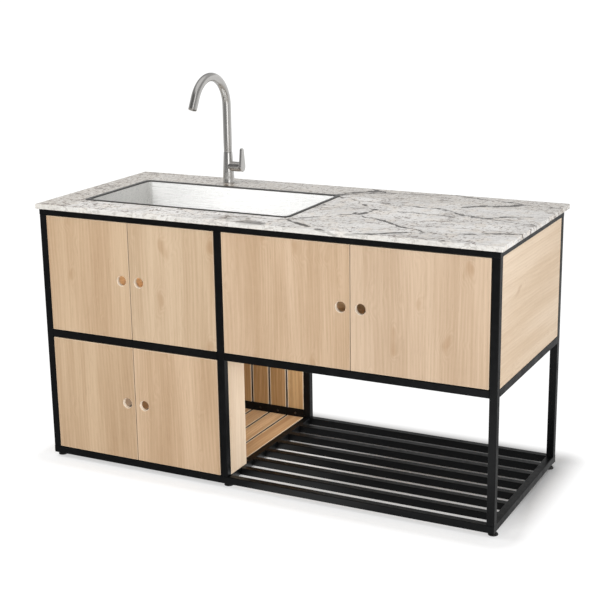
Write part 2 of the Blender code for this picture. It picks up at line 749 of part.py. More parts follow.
def make_lever():
    """A flat lever on the stem. Its lower half is cut back so that it can tilt away from the barrel."""
    mesh = outline_mesh("tap_lever", [lever_outline()], LEVER_THICKNESS)
    inner_face = 2 * GAP
    mesh.transform(Matrix.Translation((inner_face + LEVER_THICKNESS / 2, 0, 0)) @ TURNS[0].to_4x4())
    lever = piece("tap_lever", mesh, "brushed_steel", barrel_end())
    bevel(lever, LEVER_EDGE)
    reach = 2 * BARREL_RADIUS
    relief = box_mesh("lever_relief", [((-reach, -reach, -reach), (0, reach, 0))])
    relief.transform(Matrix.Translation((inner_face, 0, 0)) @ Matrix.Rotation(-LEVER_RELIEF, 4, "Y"))
    combine(lever, "DIFFERENCE", helper("lever_relief", relief, lever))


def make_side_panels():
    """Timber panels between the posts: two at the left end, one at the right end."""
    near = INSIDE_FRONT + GAP
    far = INSIDE_BACK - GAP
    left_low = LEFT + SIDE_PANEL_SETBACK
    upper = (MID_RAIL_TOP + GAP, TOP_RAIL_BOTTOM - GAP)
    lower = (BOTTOM_RAIL_TOP + GAP, MID_RAIL_BOTTOM - GAP)
    for name, start, (bottom, top) in (
        ("left_upper_side_panel", left_low, upper),
        ("left_lower_side_panel", left_low, lower),
        ("right_side_panel", RIGHT - SIDE_PANEL_SETBACK - PANEL, upper),
    ):
        board(name, (start, near, bottom), (start + PANEL, far, top), "pale_timber")


def make_cupboard_lining():
    """The floor and the back of the upper cupboard."""
    left = LEFT + SIDE_PANEL_SETBACK + PANEL + GAP
    right = RIGHT - SIDE_PANEL_SETBACK - PANEL - GAP
    back_face = INSIDE_BACK - GAP
    floor_back = back_face - BACK_PANEL - GAP
    floor_low = (left, INSIDE_FRONT + GAP, MID_RAIL_TOP + GAP)
    board("upper_floor", floor_low, (right, floor_back, FLOOR_TOP), "pale_timber")
    back_low = (left, back_face - BACK_PANEL, MID_RAIL_TOP + GAP)
    board("upper_back_panel", back_low, (right, back_face, TOP_RAIL_BOTTOM - GAP), "pale_timber")


def make_cheeks():
    """Narrow upright boards behind the middle post, which the hinges there are screwed to."""
    near = INSIDE_FRONT + GAP
    far = near + CHEEK_DEPTH
    start = (MIDDLE_LEFT + MIDDLE_RIGHT - PANEL) / 2
    low = (start, near, FLOOR_TOP + GAP)
    board("upper_cheek", low, (start + PANEL, far, TOP_RAIL_BOTTOM - GAP), "pale_timber")
    low = (MIDDLE_RIGHT - PANEL, near, BOTTOM_RAIL_TOP + GAP)
    board("lower_cheek", low, (MIDDLE_RIGHT, far, MID_RAIL_BOTTOM - GAP), "pale_timber")


def slat_starts():
    """Where each slat of the lower left bay begins, with equal margins at the two ends."""
    first = INSIDE_LEFT + SLAT_MARGIN
    return [first + number * (SLAT_WIDTH + SLAT_SPACING) for number in range(SLATS)]


def slatted_panel(name, slat_boxes, batten_boxes):
    """Slats fixed to two battens, as one panel."""
    panel = piece(name, box_mesh(name, slat_boxes), "slat_timber")
    bevel(panel, BOARD_EDGE)
    combine(panel, "UNION", helper(f"{name}_battens", box_mesh(f"{name}_battens", batten_boxes)))


def make_slatted_floor():
    """Boards from the front to the back, flush with the bottom rails, on battens between the cross rails."""
    near = INSIDE_FRONT + GAP
    far = INSIDE_BACK - LEDGER_THICKNESS - GAP
    bottom = BOTTOM_RAIL_TOP - FLOOR_SLAT
    slats = []
    for start in slat_starts():
        slats.append(((start, near, bottom), (start + SLAT_WIDTH, far, BOTTOM_RAIL_TOP)))
    inset = BATTEN_INSET_SHARE * (far - near)
    battens = []
    for front in (near + inset, far - inset - BATTEN_WIDTH):
        low = (INSIDE_LEFT + GAP, front, BOTTOM_RAIL_TOP - FLOOR_SLAT - FLOOR_BATTEN)
        battens.append((low, (MIDDLE_LEFT - GAP, front + BATTEN_WIDTH, bottom + BATTEN_GLUE)))
    slatted_panel("slatted_floor", slats, battens)


def make_slatted_back():
    """Upright boards behind the ledger, standing on the back bottom rail, with battens behind them."""
    bottom = BOTTOM_RAIL_TOP + GAP
    top = MID_RAIL_BOTTOM - GAP
    front = INSIDE_BACK + WELD_DEPTH + GAP
    back = front + BACK_SLAT
    slats = []
    for start in slat_starts():
        slats.append(((start, front, bottom), (start + SLAT_WIDTH, back, top)))
    inset = BATTEN_INSET_SHARE * (top - bottom)
    battens = []
    for low in (bottom + inset, top - inset - BATTEN_WIDTH):
        corner = (INSIDE_LEFT + GAP, back - BATTEN_GLUE, low)
        battens.append((corner, (MIDDLE_LEFT - GAP, back - BATTEN_GLUE + BACK_BATTEN, low + BATTEN_WIDTH)))
    slatted_panel("slatted_back", slats, battens)


def finger_hole_mesh(name):
    """A cutter along Y for a finger hole that is chamfered on both faces of the door."""
    mesh = bpy.data.meshes.new(name)
    shape = bmesh.new()
    wide = FINGER_HOLE + FINGER_CHAMFER + OVERRUN
    half = DOOR_THICKNESS / 2
    rings = []
    for radius, depth in (
        (wide, -OVERRUN),
        (FINGER_HOLE, FINGER_CHAMFER),
        (FINGER_HOLE, 2 * half - FINGER_CHAMFER),
        (wide, 2 * half + OVERRUN),
    ):
        outline = circle(radius, HOLE_SIDES)
        rings.append([shape.verts.new((across, depth, up)) for across, up in outline])
    for first, second in zip(rings, rings[1:]):
        for index in range(HOLE_SIDES):
            after = (index + 1) % HOLE_SIDES
            shape.faces.new((first[index], first[after], second[after], second[index]))
    shape.faces.new(rings[0])
    shape.faces.new(rings[-1])
    bmesh.ops.recalc_face_normals(shape, faces=shape.faces)
    shape.to_mesh(mesh)
    shape.free()
    return mesh


def cup_mesh(name):
    """A cutter along Y for the blind bore of a hinge cup."""
    mesh = bpy.data.meshes.new(name)
    shape = bmesh.new()
    depth = CUP_DEPTH + OVERRUN
    place = Matrix.Translation((0, DOOR_THICKNESS - CUP_DEPTH + depth / 2, 0)) @ TURNS[1].to_4x4()
    bmesh.ops.create_cone(
        shape, cap_ends=True, segments=CUP_SIDES, radius1=CUP_RADIUS, radius2=CUP_RADIUS, depth=depth, matrix=place
    )
    shape.to_mesh(mesh)
    shape.free()
    return mesh


def make_door(name, post_face, side, width, bottom, top):
    """An inset door hung from the post face on one side. side is 1 where the door reaches to +X."""
    axis = Vector((post_face + side * (DOOR_GAP + AXIS_INSET), FRONT, 0))
    edges = sorted((-side * AXIS_INSET, side * (width - AXIS_INSET)))
    body = box_mesh(name, [((edges[0], 0, bottom), (edges[1], DOOR_THICKNESS, top))])
    door = piece(name, body, "pale_timber", axis)
    bevel(door, DOOR_EDGE)
    hole_place = (side * (width - AXIS_INSET - FINGER_HOLE_INSET), 0, (bottom + top) / 2)
    hole_name = f"{name}_finger_hole"
    combine(door, "DIFFERENCE", helper(hole_name, finger_hole_mesh(hole_name), door, hole_place))
    for end, height in hinge_heights(bottom, top):
        cup_name = f"{name}_{end}_cup"
        place = (side * (CUP_INSET - AXIS_INSET), 0, height)
        combine(door, "DIFFERENCE", helper(cup_name, cup_mesh(cup_name), door, place))


def hinge_heights(bottom, top):
    """The middle of each of a door's two hinges."""
    inset = HINGE_END_SHARE * (top - bottom)
    return (("bottom", bottom + inset), ("top", top - inset))


def band_outline(path, width):
    """Both sides of a flat band that follows a path, mitred at its bends."""
    sides = ([], [])
    for index, point in enumerate(path):
        ahead = (path[index + 1] - point).normalized() if index + 1 < len(path) else None
        behind = (point - path[index - 1]).normalized() if index else None
        directions = [direction for direction in (behind, ahead) if direction]
        normals = [Vector((-direction.y, direction.x)) for direction in directions]
        offset = normals[0] if len(normals) == 1 else (normals[0] + normals[1]) / (1 + normals[0].dot(normals[1]))
        sides[0].append(point + offset * width / 2)
        sides[1].append(point - offset * width / 2)
    return sides[0] + sides[1][::-1]


def arm_path(plate_face):
    """The plan of the arm's middle line, from its rear end on the plate into the cup.

    x runs from the post's inner face into the opening, and y from the front face to the back.
    """
    root = plate_face + ARM_BAND / 2 - ARM_OVERLAP
    cup_near = DOOR_GAP + CUP_INSET - CUP_RADIUS
    cup_middle = DOOR_GAP + CUP_INSET
    cup_bottom = DOOR_THICKNESS - CUP_DEPTH
    behind_door = DOOR_THICKNESS + ARM_CLEARANCE + ARM_BAND / 2
    tip = cup_middle + ARM_TIP_OFFSET
    return [
        Vector((root, ARM_REAR)),
        Vector((root, TUBE + ARM_BAND)),
        Vector((cup_near + ARM_BAND / 2, behind_door)),
        Vector((tip, DOOR_THICKNESS + ARM_OVERLAP)),
        Vector((tip, cup_bottom + GAP)),
    ]


def make_hinge_arm(name, post_face, side, panel_offset, height):
    """A cranked arm and its mounting plate on the panel, which lies panel_offset behind the post's face."""
    plate_face = PLATE_THICKNESS + GAP - panel_offset
    outline = [Vector((side * across, depth)) for across, depth in band_outline(arm_path(plate_face), ARM_BAND)]
    arm = piece(name, outline_mesh(name, [outline], ARM_HEIGHT), "hinge_steel", (post_face, FRONT, height))
    across = sorted((side * (plate_face - PLATE_THICKNESS), side * plate_face))
    rise = PLATE_HEIGHT / 2
    low = (across[0], PLATE_FRONT, -rise)
    high = (across[1], PLATE_FRONT + PLATE_LENGTH, rise)
    combine(arm, "UNION", helper(f"{name}_plate", box_mesh(f"{name}_plate", [(low, high)]), arm))


def make_doors():
    """Three pairs of doors: one pair for each upper bay and one for the lower left bay."""
    upper = (MID_RAIL_TOP + DOOR_GAP, TOP_RAIL_BOTTOM - DOOR_GAP)
    lower = (BOTTOM_RAIL_TOP + DOOR_GAP, MID_RAIL_BOTTOM - DOOR_GAP)
    left_bay = (INSIDE_LEFT, MIDDLE_LEFT)
    right_bay = (MIDDLE_RIGHT, INSIDE_RIGHT)
    side_offset = TUBE - SIDE_PANEL_SETBACK - PANEL
    cheek_offset = (TUBE - PANEL) / 2
    for bay, (start, end), (bottom, top), left_offset, right_offset in (
        ("upper_left", left_bay, upper, side_offset, cheek_offset),
        ("upper_right", right_bay, upper, cheek_offset, side_offset),
        ("lower_left", left_bay, lower, side_offset, TUBE - PANEL),
    ):
        width = (end - start - 3 * DOOR_GAP) / 2
        for hand, face, side, offset in (("left", start, 1, left_offset), ("right", end, -1, right_offset)):
            name = f"{bay}_bay_{hand}_door"
            make_door(name, face, side, width, bottom, top)
            for level, height in hinge_heights(bottom, top):
                make_hinge_arm(f"{name}_{level}_hinge_arm", face, side, offset, height)


def make_cabinet():
    """Builds the frame first, then what stands on it and what hangs from it."""
    make_posts()
    make_long_rails()
    make_side_rails()
    make_shelf()
    make_feet()
    make_worktop()
    make_sink()
    make_strainer()
    make_tap_body()
    make_spout()
    make_tap_stem()
    make_lever()
    make_side_panels()
    make_cupboard_lining()
    make_cheeks()
    make_slatted_floor()
    make_slatted_back()
    make_doors()


make_cabinet()
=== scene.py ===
import bmesh
import bpy
import numpy as np
from mathutils import Matrix, Vector


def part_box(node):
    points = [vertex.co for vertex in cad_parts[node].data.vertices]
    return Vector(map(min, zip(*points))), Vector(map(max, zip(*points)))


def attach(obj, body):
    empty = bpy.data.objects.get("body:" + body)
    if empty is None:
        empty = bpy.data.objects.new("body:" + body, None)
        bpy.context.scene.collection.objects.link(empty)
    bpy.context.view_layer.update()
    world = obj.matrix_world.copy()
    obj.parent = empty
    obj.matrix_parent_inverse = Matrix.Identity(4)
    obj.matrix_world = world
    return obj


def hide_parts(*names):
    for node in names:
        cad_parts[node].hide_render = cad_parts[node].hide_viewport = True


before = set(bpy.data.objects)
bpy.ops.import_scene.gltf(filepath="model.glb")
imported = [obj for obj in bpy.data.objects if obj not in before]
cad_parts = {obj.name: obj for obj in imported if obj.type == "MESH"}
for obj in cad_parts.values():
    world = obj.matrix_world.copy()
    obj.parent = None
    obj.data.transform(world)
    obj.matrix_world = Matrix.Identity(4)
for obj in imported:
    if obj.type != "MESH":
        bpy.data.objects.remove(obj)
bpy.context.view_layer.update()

# ---------------------------------------------------------------------------------------------------
# The frame of square tube. It is mild steel, 25 mm square, butt welded, ground flush at the corners
# and powder coated black with a fine texture. The open rail ends are closed with welded plates.
# ---------------------------------------------------------------------------------------------------


def screen(red, green, blue):
    """The linear colour of a screen colour of 0 to 255: ((c / 255 + 0.055) / 1.055) to the power 2.4."""
    share = np.array([red, green, blue]) / 255
    linear = np.where(share > 0.04045, ((share + 0.055) / 1.055) ** 2.4, share / 12.92)
    return (*linear.tolist(), 1.0)


def feed(tree, node, sockets):
    """Gives each named socket of a node a value, or the output of another node."""
    for key, value in sockets.items():
        if isinstance(value, bpy.types.NodeSocket):
            tree.links.new(value, node.inputs[key])
        else:
            node.inputs[key].default_value = value
    return node.outputs


def add(tree, kind, sockets, **settings):
    """Adds a shader node with its settings and sockets, and gives its outputs."""
    made = tree.nodes.new("ShaderNode" + kind)
    for key, value in settings.items():
        setattr(made, key, value)
    return feed(tree, made, sockets)


def calc(tree, operation, first, second=0.0, third=0.0):
    """The output of one sum on plain values."""
    return add(tree, "Math", {0: first, 1: second, 2: third}, operation=operation)[0]


def times(tree, product, *factors):
    """The product of masks and shares."""
    for factor in factors:
        product = calc(tree, "MULTIPLY", product, factor)
    return product


def tint(tree, share, first, second):
    """Two colours mixed by a share."""
    return add(tree, "Mix", {0: share, 6: first, 7: second}, data_type="RGBA")[2]


def fade(tree, value, low, high, start=0.0, end=1.0):
    """A smooth step from start to end while the value goes from low to high."""
    sockets = {0: value, 1: low, 2: high, 3: start, 4: end}
    return add(tree, "MapRange", sockets, interpolation_type="SMOOTHSTEP")[0]


def noise(tree, vector, scale, detail=3.0, roughness=0.5):
    """Noise in three dimensions, as a value about one half."""
    sockets = {"Vector": vector, "Scale": scale, "Detail": detail, "Roughness": roughness}
    return add(tree, "TexNoise", sockets)[0]


def coordinates(tree):
    """Object coordinates in metres."""
    return add(tree, "TexCoord", {})["Object"]


def finish(name, colour, roughness, metallic=0.0, **sockets):
    """A new material with its tree and its Principled shader."""
    material = bpy.data.materials.new(name)
    material.use_nodes = True
    tree = material.node_tree
    shader = tree.nodes["Principled BSDF"]
    feed(tree, shader, {"Base Color": colour, "Roughness": roughness, "Metallic": metallic})
    feed(tree, shader, {key.replace("_", " "): value for key, value in sockets.items()})
    return material, tree, shader


def relief(tree, shader, height, strength, distance):
    """Bumps a surface by a height that is given as a value."""
    bump = add(tree, "Bump", {"Height": height, "Strength": strength, "Distance": distance})[0]
    feed(tree, shader, {"Normal": bump})


def effect(name, inputs, outputs):
    """A shader node group with named sockets: inputs as name, kind and value, outputs as name and kind."""
    group = bpy.data.node_groups.new(name, "ShaderNodeTree")
    for label, kind, value in inputs:
        socket = group.interface.new_socket(name=label, in_out="INPUT", socket_type="NodeSocket" + kind)
        socket.default_value = value
    for label, kind in outputs:
        group.interface.new_socket(name=label, in_out="OUTPUT", socket_type="NodeSocket" + kind)
    return group, group.nodes.new("NodeGroupInput").outputs, group.nodes.new("NodeGroupOutput")


def place_effect(tree, group, sockets):
    """A node group placed in a material with its own values."""
    made = tree.nodes.new("ShaderNodeGroup")
    made.node_tree = group
    return feed(tree, made, sockets)


def make_handling():
    """Cleaned and rubbed areas: broad noise times finer noise, as a mask for roughness and tone."""
    inputs = [("Vector", "Vector", (0, 0, 0)), ("Size", "Float", 6.0)]
    group, given, made = effect("handling", inputs, [("Mask", "Float")])
    broad = noise(group, given["Vector"], given["Size"], 3.0, 0.6)
    finer = noise(group, given["Vector"], 45.0, 4.0, 0.6)
    feed(group, made, {"Mask": fade(group, times(group, broad, finer), 0.12, 0.42)})
    return group


HANDLING = make_handling()


def handled(tree, where, size):
    """The mask of cleaned and rubbed areas, with its broad noise at a scale."""
    return place_effect(tree, HANDLING, {"Vector": where, "Size": size})["Mask"]


def make_powder_coat():
    """Black powder coat: a fine orange-peel relief, and slightly greyer where it was rubbed."""
    material, tree, shader = finish("black_powder_coat", screen(10, 11, 12), 0.45, Specular_IOR_Level=0.16)
    where = coordinates(tree)
    rubbed = handled(tree, where, 5.0)
    colour = tint(tree, rubbed, screen(8, 9, 10), screen(17, 18, 19))
    feed(tree, shader, {"Base Color": colour, "Roughness": fade(tree, rubbed, 0.0, 1.0, 0.36, 0.50)})
    relief(tree, shader, noise(tree, where, 900.0, 2.0), 0.12, 0.0004)
    return material


POWDER_COAT = make_powder_coat()


def dress(material, *nodes):
    """Gives CAD nodes a finish."""
    for name in nodes:
        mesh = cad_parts[name].data
        mesh.materials.clear()
        mesh.materials.append(material)


dress(
    POWDER_COAT,
    "front_left_post", "front_middle_post", "front_right_post", "back_left_post", "back_middle_post",
    "back_right_post", "front_top_rail", "back_top_rail", "left_top_rail", "right_top_rail",
    "front_left_mid_rail", "front_right_mid_rail", "back_left_mid_rail", "back_right_mid_rail",
    "left_mid_rail", "right_mid_rail", "front_bottom_rail", "back_bottom_rail", "left_bottom_rail",
    "shelf_grid",
)


def skin(rings, loop=False):
    """Points and faces for a stack of closed rings, given as an array of (ring, point, 3).

    Each four neighbours make a quad. A flat face closes each end, or the ends join where loop is true.
    """
    count, around = rings.shape[:2]
    index = np.arange(count * around).reshape(count, around)
    after = np.roll(index, -1, axis=0) if loop else index[1:]
    here = index if loop else index[:-1]
    quads = np.stack([here, np.roll(here, -1, axis=1), np.roll(after, -1, axis=1), after], axis=-1)
    faces = quads.reshape(-1, 4).tolist()
    if not loop:
        faces += [index[0].tolist(), index[-1].tolist()]
    return rings.reshape(-1, 3), faces


def shell(name, parts, sharp=35.0):
    """One mesh of closed shells, each given as points and faces, with its faces turned outwards."""
    points, faces, start = [], [], 0
    for some_points, some_faces in parts:
        points.append(some_points)
        faces += [[start + corner for corner in face] for face in some_faces]
        start += len(some_points)
    mesh = bpy.data.meshes.new(name)
    mesh.from_pydata(np.concatenate(points).tolist(), [], faces)
    work = bmesh.new()
    work.from_mesh(mesh)
    bmesh.ops.recalc_face_normals(work, faces=work.faces)
    work.to_mesh(mesh)
    work.free()
    mesh.shade_smooth()
    mesh.set_sharp_from_angle(angle=np.radians(sharp))
    return mesh


def fit(name, mesh, material, body="cabinet", instead_of=()):
    """Puts a piece on its body, with its finish, in place of the CAD nodes that it stands for."""
    made = bpy.data.objects.new(name, mesh)
    bpy.context.scene.collection.objects.link(made)
    mesh.materials.append(material)
    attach(made, body)
    if instead_of:
        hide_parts(*instead_of)
    return made


def slab_rings(centre, half, axis):
    """Two rings of four corners, at the two ends of a block along one axis."""
    across, up = (axis + 1) % 3, (axis + 2) % 3
    rings = np.tile(np.array(centre, float), (2, 4, 1))
    rings[:, :, axis] += np.array([[-half[axis]], [half[axis]]])
    rings[:, :, across] += half[across] * np.array([-1, 1, 1, -1])
    rings[:, :, up] += half[up] * np.array([-1, -1, 1, 1])
    return rings


tube = 0.025
tube_wall = 0.0015
plate = 0.0016
plate_play = 0.00005
half_depth = tube / 2 - tube_wall - plate_play
for rail in ("front_top_rail", "back_top_rail", "front_bottom_rail", "back_bottom_rail"):
    low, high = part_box(rail)
    near = high.y - tube if rail.startswith("back") else low.y
    top = low.z + tube if rail.endswith("bottom_rail") else high.z
    half_height = (top - low.z) / 2 - tube_wall - plate_play
    plates = []
    for end in (low.x + plate / 2, high.x - plate / 2):
        centre = (end, near + tube / 2, (low.z + top) / 2)
        plates.append(skin(slab_rings(centre, (plate / 2, half_depth, half_height), 0)))
    fit(rail + "_end_plates", shell(rail + "_end_plates", plates), POWDER_COAT)


# ---------------------------------------------------------------------------------------------------
# The levelling feet. Each is a low moulded dome of black nylon on a threaded stud, screwed up into
# the bottom rail, with a hexagon moulded round its neck for the spanner.
# ---------------------------------------------------------------------------------------------------


def turned(profile, centre, steps=48, sides=None):
    """Rings about a vertical line: each ring is a circle of the profile's radius at its height.

    Where sides is true for a ring, its circle is drawn in to a hexagon.
    """
    angle = np.linspace(0, 2 * np.pi, steps, endpoint=False)
    radius, height = np.array(profile, float).T
    reach = np.repeat(radius[:, None], steps, axis=1)
    if sides is not None:
        flat = np.cos(np.pi / 6) / np.cos((angle % (np.pi / 3)) - np.pi / 6)
        reach = np.where(np.array(sides)[:, None], reach * flat, reach)
    level = np.broadcast_to(centre[2] + height[:, None], reach.shape)
    return np.stack([centre[0] + reach * np.cos(angle), centre[1] + reach * np.sin(angle), level], axis=-1)


def rounded(corner, radius, start, end, steps=5):
    """Points of a quarter round about a centre, from one angle to another in degrees."""
    angle = np.radians(np.linspace(start, end, steps + 1))
    return [(corner[0] + radius * np.cos(a), corner[1] + radius * np.sin(a)) for a in angle]


def make_nylon():
    """Matt black nylon with the faint grain of its mould."""
    material, tree, shader = finish("black_nylon", screen(22, 22, 22), 0.55)
    where = coordinates(tree)
    dusty = tint(tree, handled(tree, where, 30.0), screen(19, 19, 19), screen(38, 37, 35))
    feed(tree, shader, {"Base Color": dusty})
    relief(tree, shader, noise(tree, where, 1400.0, 2.0), 0.15, 0.0002)
    return material


NYLON = make_nylon()

foot_flat = 0.004
foot_edge = 0.0022
foot_dome = 0.0075
foot_slope = 0.0035
foot_ease = 0.0008
hexagon = 0.0098
for row in ("front", "back"):
    for column in ("left", "middle", "right"):
        node_name = f"{row}_{column}_foot"
        low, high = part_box(node_name)
        radius = (high.x - low.x) / 2
        profile = [(foot_flat, 0.0)] + rounded((radius - foot_edge, foot_edge), foot_edge, -90, 0)
        profile += [(radius - 0.0006, foot_edge + 0.0015), (radius - foot_slope, foot_dome - foot_ease)]
        profile += [(hexagon + foot_ease, foot_dome)]
        flats = [False] * len(profile) + [True] * 3
        profile += [(hexagon, foot_dome + 0.0002), (hexagon, high.z - foot_ease)]
        profile += [(hexagon - foot_ease, high.z)]
        centre = ((low.x + high.x) / 2, (low.y + high.y) / 2, 0)
        mesh = shell(node_name + "_dome", [skin(turned(profile, centre, sides=flats))])
        fit(node_name + "_dome", mesh, NYLON, instead_of=(node_name,))


# ---------------------------------------------------------------------------------------------------
# The pale boards: doors of 18 mm, and side panels, cheeks, floor and back of 12 to 16 mm. All are
# light oak, the grain upright on the doors and cheeks and lengthwise on the rest.
# ---------------------------------------------------------------------------------------------------


def calc_vector(tree, operation, first, second=(0, 0, 0)):
    """The outputs of one sum on vectors."""
    return add(tree, "VectorMath", {0: first, 1: second}, operation=operation)


def split(tree, vector):
    """The three parts of a vector."""
    return add(tree, "SeparateXYZ", {0: vector})


def stretch(tree, vector, scale=(1, 1, 1), place=(0, 0, 0), turn=(0, 0, 0)):
    """The vector scaled, turned and moved by a Mapping node."""
    sockets = {"Vector": vector, "Scale": scale, "Location": place, "Rotation": turn}
    return add(tree, "Mapping", sockets)[0]


def facing(tree, axis):
    """How far the surface faces along an axis, either way, from 0 to 1."""
    return calc(tree, "ABSOLUTE", split(tree, add(tree, "TexCoord", {})["Normal"])[axis])


def make_oak_grain():
    """Oak with its grain along Z: broad tone, growth rings cut lengthwise, fibres, pores and a few knots."""
    inputs = [("Vector", "Vector", (0, 0, 0)), ("Light", "Color", (1, 1, 1, 1))]
    inputs += [("Dark", "Color", (0, 0, 0, 1)), ("Pores", "Float", 0.5), ("Knots", "Float", 0.5)]
    outputs = [("Color", "Color"), ("Height", "Float"), ("Roughness", "Float")]
    group, given, made = effect("oak_grain", inputs, outputs)

    def drawn_out(scale, detail, rough=0.5):
        return noise(group, stretch(group, given["Vector"], scale), 1.0, detail, rough)

    knot = drawn_out((17, 17, 8), 1.0, 0.4)
    bend = drawn_out((3.2, 3.2, 0.75), 2.0)
    x, y = split(group, given["Vector"])[:2]
    pushed = calc(group, "ADD", times(group, fade(group, knot, 0.60, 0.80), 0.03), y)
    across = calc(group, "ADD", calc(group, "MULTIPLY_ADD", bend, 0.16, x), pushed)
    ring = calc(group, "MULTIPLY_ADD", calc(group, "SINE", times(group, across, 520.0)), 0.5, 0.5)
    streak = drawn_out((42, 42, 1.4), 4.0, 0.62)
    fibre = drawn_out((260, 260, 4), 3.0, 0.6)
    tone = times(group, drawn_out((7, 7, 0.8), 2.0), 0.55)
    for part, weight in ((streak, 0.40), (fibre, 0.26), (ring, 0.055)):
        tone = calc(group, "MULTIPLY_ADD", part, weight, tone)
    colour = tint(group, fade(group, tone, 0.42, 0.84), given["Dark"], given["Light"])
    spot = times(group, fade(group, knot, 0.70, 0.79), given["Knots"], 0.75)
    colour = tint(group, spot, colour, screen(168, 128, 90))
    pore = times(group, fade(group, drawn_out((620, 620, 20), 2.0), 0.60, 0.72), given["Pores"])
    colour = tint(group, pore, colour, tint(group, 0.55, given["Dark"], screen(120, 90, 62)))
    height = calc(group, "SUBTRACT", times(group, fibre, 0.35), pore)
    rough = fade(group, fibre, 0.3, 0.7, 0.50, 0.62)
    feed(group, made, {"Color": colour, "Height": height, "Roughness": rough})
    return group


def make_arris():
    """A mask along a board's edges: the second smallest distance to its faces is under the width."""
    inputs = [("Vector", "Vector", (0, 0, 0)), ("Half", "Vector", (1, 1, 1)), ("Width", "Float", 0.0012)]
    group, given, made = effect("arris", inputs, [("Mask", "Float")])
    away = calc_vector(group, "ABSOLUTE", given["Vector"])[0]
    x, y, z = split(group, calc_vector(group, "SUBTRACT", given["Half"], away)[0])
    low = calc(group, "MINIMUM", calc(group, "MINIMUM", x, y), z)
    high = calc(group, "MAXIMUM", calc(group, "MAXIMUM", x, y), z)
    total = calc(group, "ADD", calc(group, "ADD", x, y), z)
    middle = calc(group, "SUBTRACT", calc(group, "SUBTRACT", total, low), high)
    share = calc(group, "DIVIDE", middle, given["Width"])
    feed(group, made, {"Mask": fade(group, share, 0.5, 1.3, 1.0, 0.0)})
    return group


OAK_GRAIN = make_oak_grain()
ARRIS = make_arris()

grain_turns = {"X": (0, np.pi / 2, 0), "Y": (np.pi / 2, 0, 0), "Z": (0, 0, 0)}
arris_width = 0.0013
edge_band_and_highlight = screen(240, 222, 196)
painted_door_gap_shade = screen(112, 78, 48)


def oak_board(node_name, grain, light, dark, seed):
    """A board's own finish: its grain set off by a seed, arrises painted paler as an edge band and a painted
    highlight, and on a door sides darkened as a painted shade of the gaps.
    """
    low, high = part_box(node_name)
    centre, half = (low + high) / 2, (high - low) / 2
    material, tree, shader = finish("oak_" + node_name, light, 0.5, Specular_IOR_Level=0.35)
    where = coordinates(tree)
    centred = stretch(tree, where, place=tuple(-centre))
    grained = stretch(tree, centred, place=(3.1 * seed, 1.7 * seed, 0.9 * seed), turn=grain_turns[grain])
    sockets = {"Vector": grained, "Light": light, "Dark": dark, "Pores": 0.30, "Knots": 0.50}
    grain_of = place_effect(tree, OAK_GRAIN, sockets)
    sockets = {"Vector": centred, "Half": tuple(half), "Width": arris_width}
    edge = place_effect(tree, ARRIS, sockets)["Mask"]
    colour = tint(tree, times(tree, handled(tree, where, 3.0), 0.10), grain_of["Color"], light)
    # The arrises are painted paler: partly a paler edge band, partly a painted highlight where a rounded edge
    # would catch light.
    colour = tint(tree, times(tree, edge, 0.65), colour, edge_band_and_highlight)
    # A door's narrow sides are darkened: a painted shade for the gaps between the doors.
    if node_name.endswith("door"):
        colour = tint(tree, fade(tree, facing(tree, 0), 0.5, 0.9, 0.0, 0.42), colour, painted_door_gap_shade)
    feed(tree, shader, {"Base Color": colour, "Roughness": grain_of["Roughness"]})
    relief(tree, shader, grain_of["Height"], 0.18, 0.0002)
    dress(material, node_name)


door_tones = {
    "upper_left_bay_left_door": ((212, 185, 153), (184, 152, 119), 1),
    "upper_left_bay_right_door": ((213, 188, 158), (184, 155, 123), 2),
    "upper_right_bay_left_door": ((219, 192, 163), (190, 160, 128), 3),
    "upper_right_bay_right_door": ((217, 192, 165), (188, 160, 131), 4),
    "lower_left_bay_left_door": ((210, 183, 151), (181, 150, 117), 5),
    "lower_left_bay_right_door": ((216, 188, 157), (186, 155, 122), 6),
}
hole_radius = 0.0175
hole_from_edge = 0.0325


def pale_wall_and_painted_highlight(node_name):
    """The wall of a finger hole is painted paler than the face, partly as its paler cut grain and partly as a
    painted highlight for the light it catches: it lies within a little of the hole's radius.
    """
    low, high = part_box(node_name)
    middle = high.x - hole_from_edge if node_name.endswith("left_door") else low.x + hole_from_edge
    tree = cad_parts[node_name].data.materials[0].node_tree
    shader = tree.nodes["Principled BSDF"]
    plain = shader.inputs["Base Color"].links[0].from_socket
    places = split(tree, coordinates(tree))
    squares = []
    for place, centre in ((places[0], middle), (places[2], (low.z + high.z) / 2)):
        offset = calc(tree, "ABSOLUTE", calc(tree, "SUBTRACT", place, centre))
        squares.append(calc(tree, "POWER", offset, 2.0))
    away = calc(tree, "SQRT", calc(tree, "ADD", *squares))
    wall = fade(tree, away, hole_radius + 0.0002, hole_radius + 0.0010, 1.0, 0.0)
    # The pale bore wall is partly cut grain and partly a painted highlight.
    feed(tree, shader, {"Base Color": tint(tree, times(tree, wall, 0.85), plain, screen(250, 238, 220))})


for node_name, (light, dark, seed) in door_tones.items():
    oak_board(node_name, "Z", screen(*light), screen(*dark), seed)
    pale_wall_and_painted_highlight(node_name)

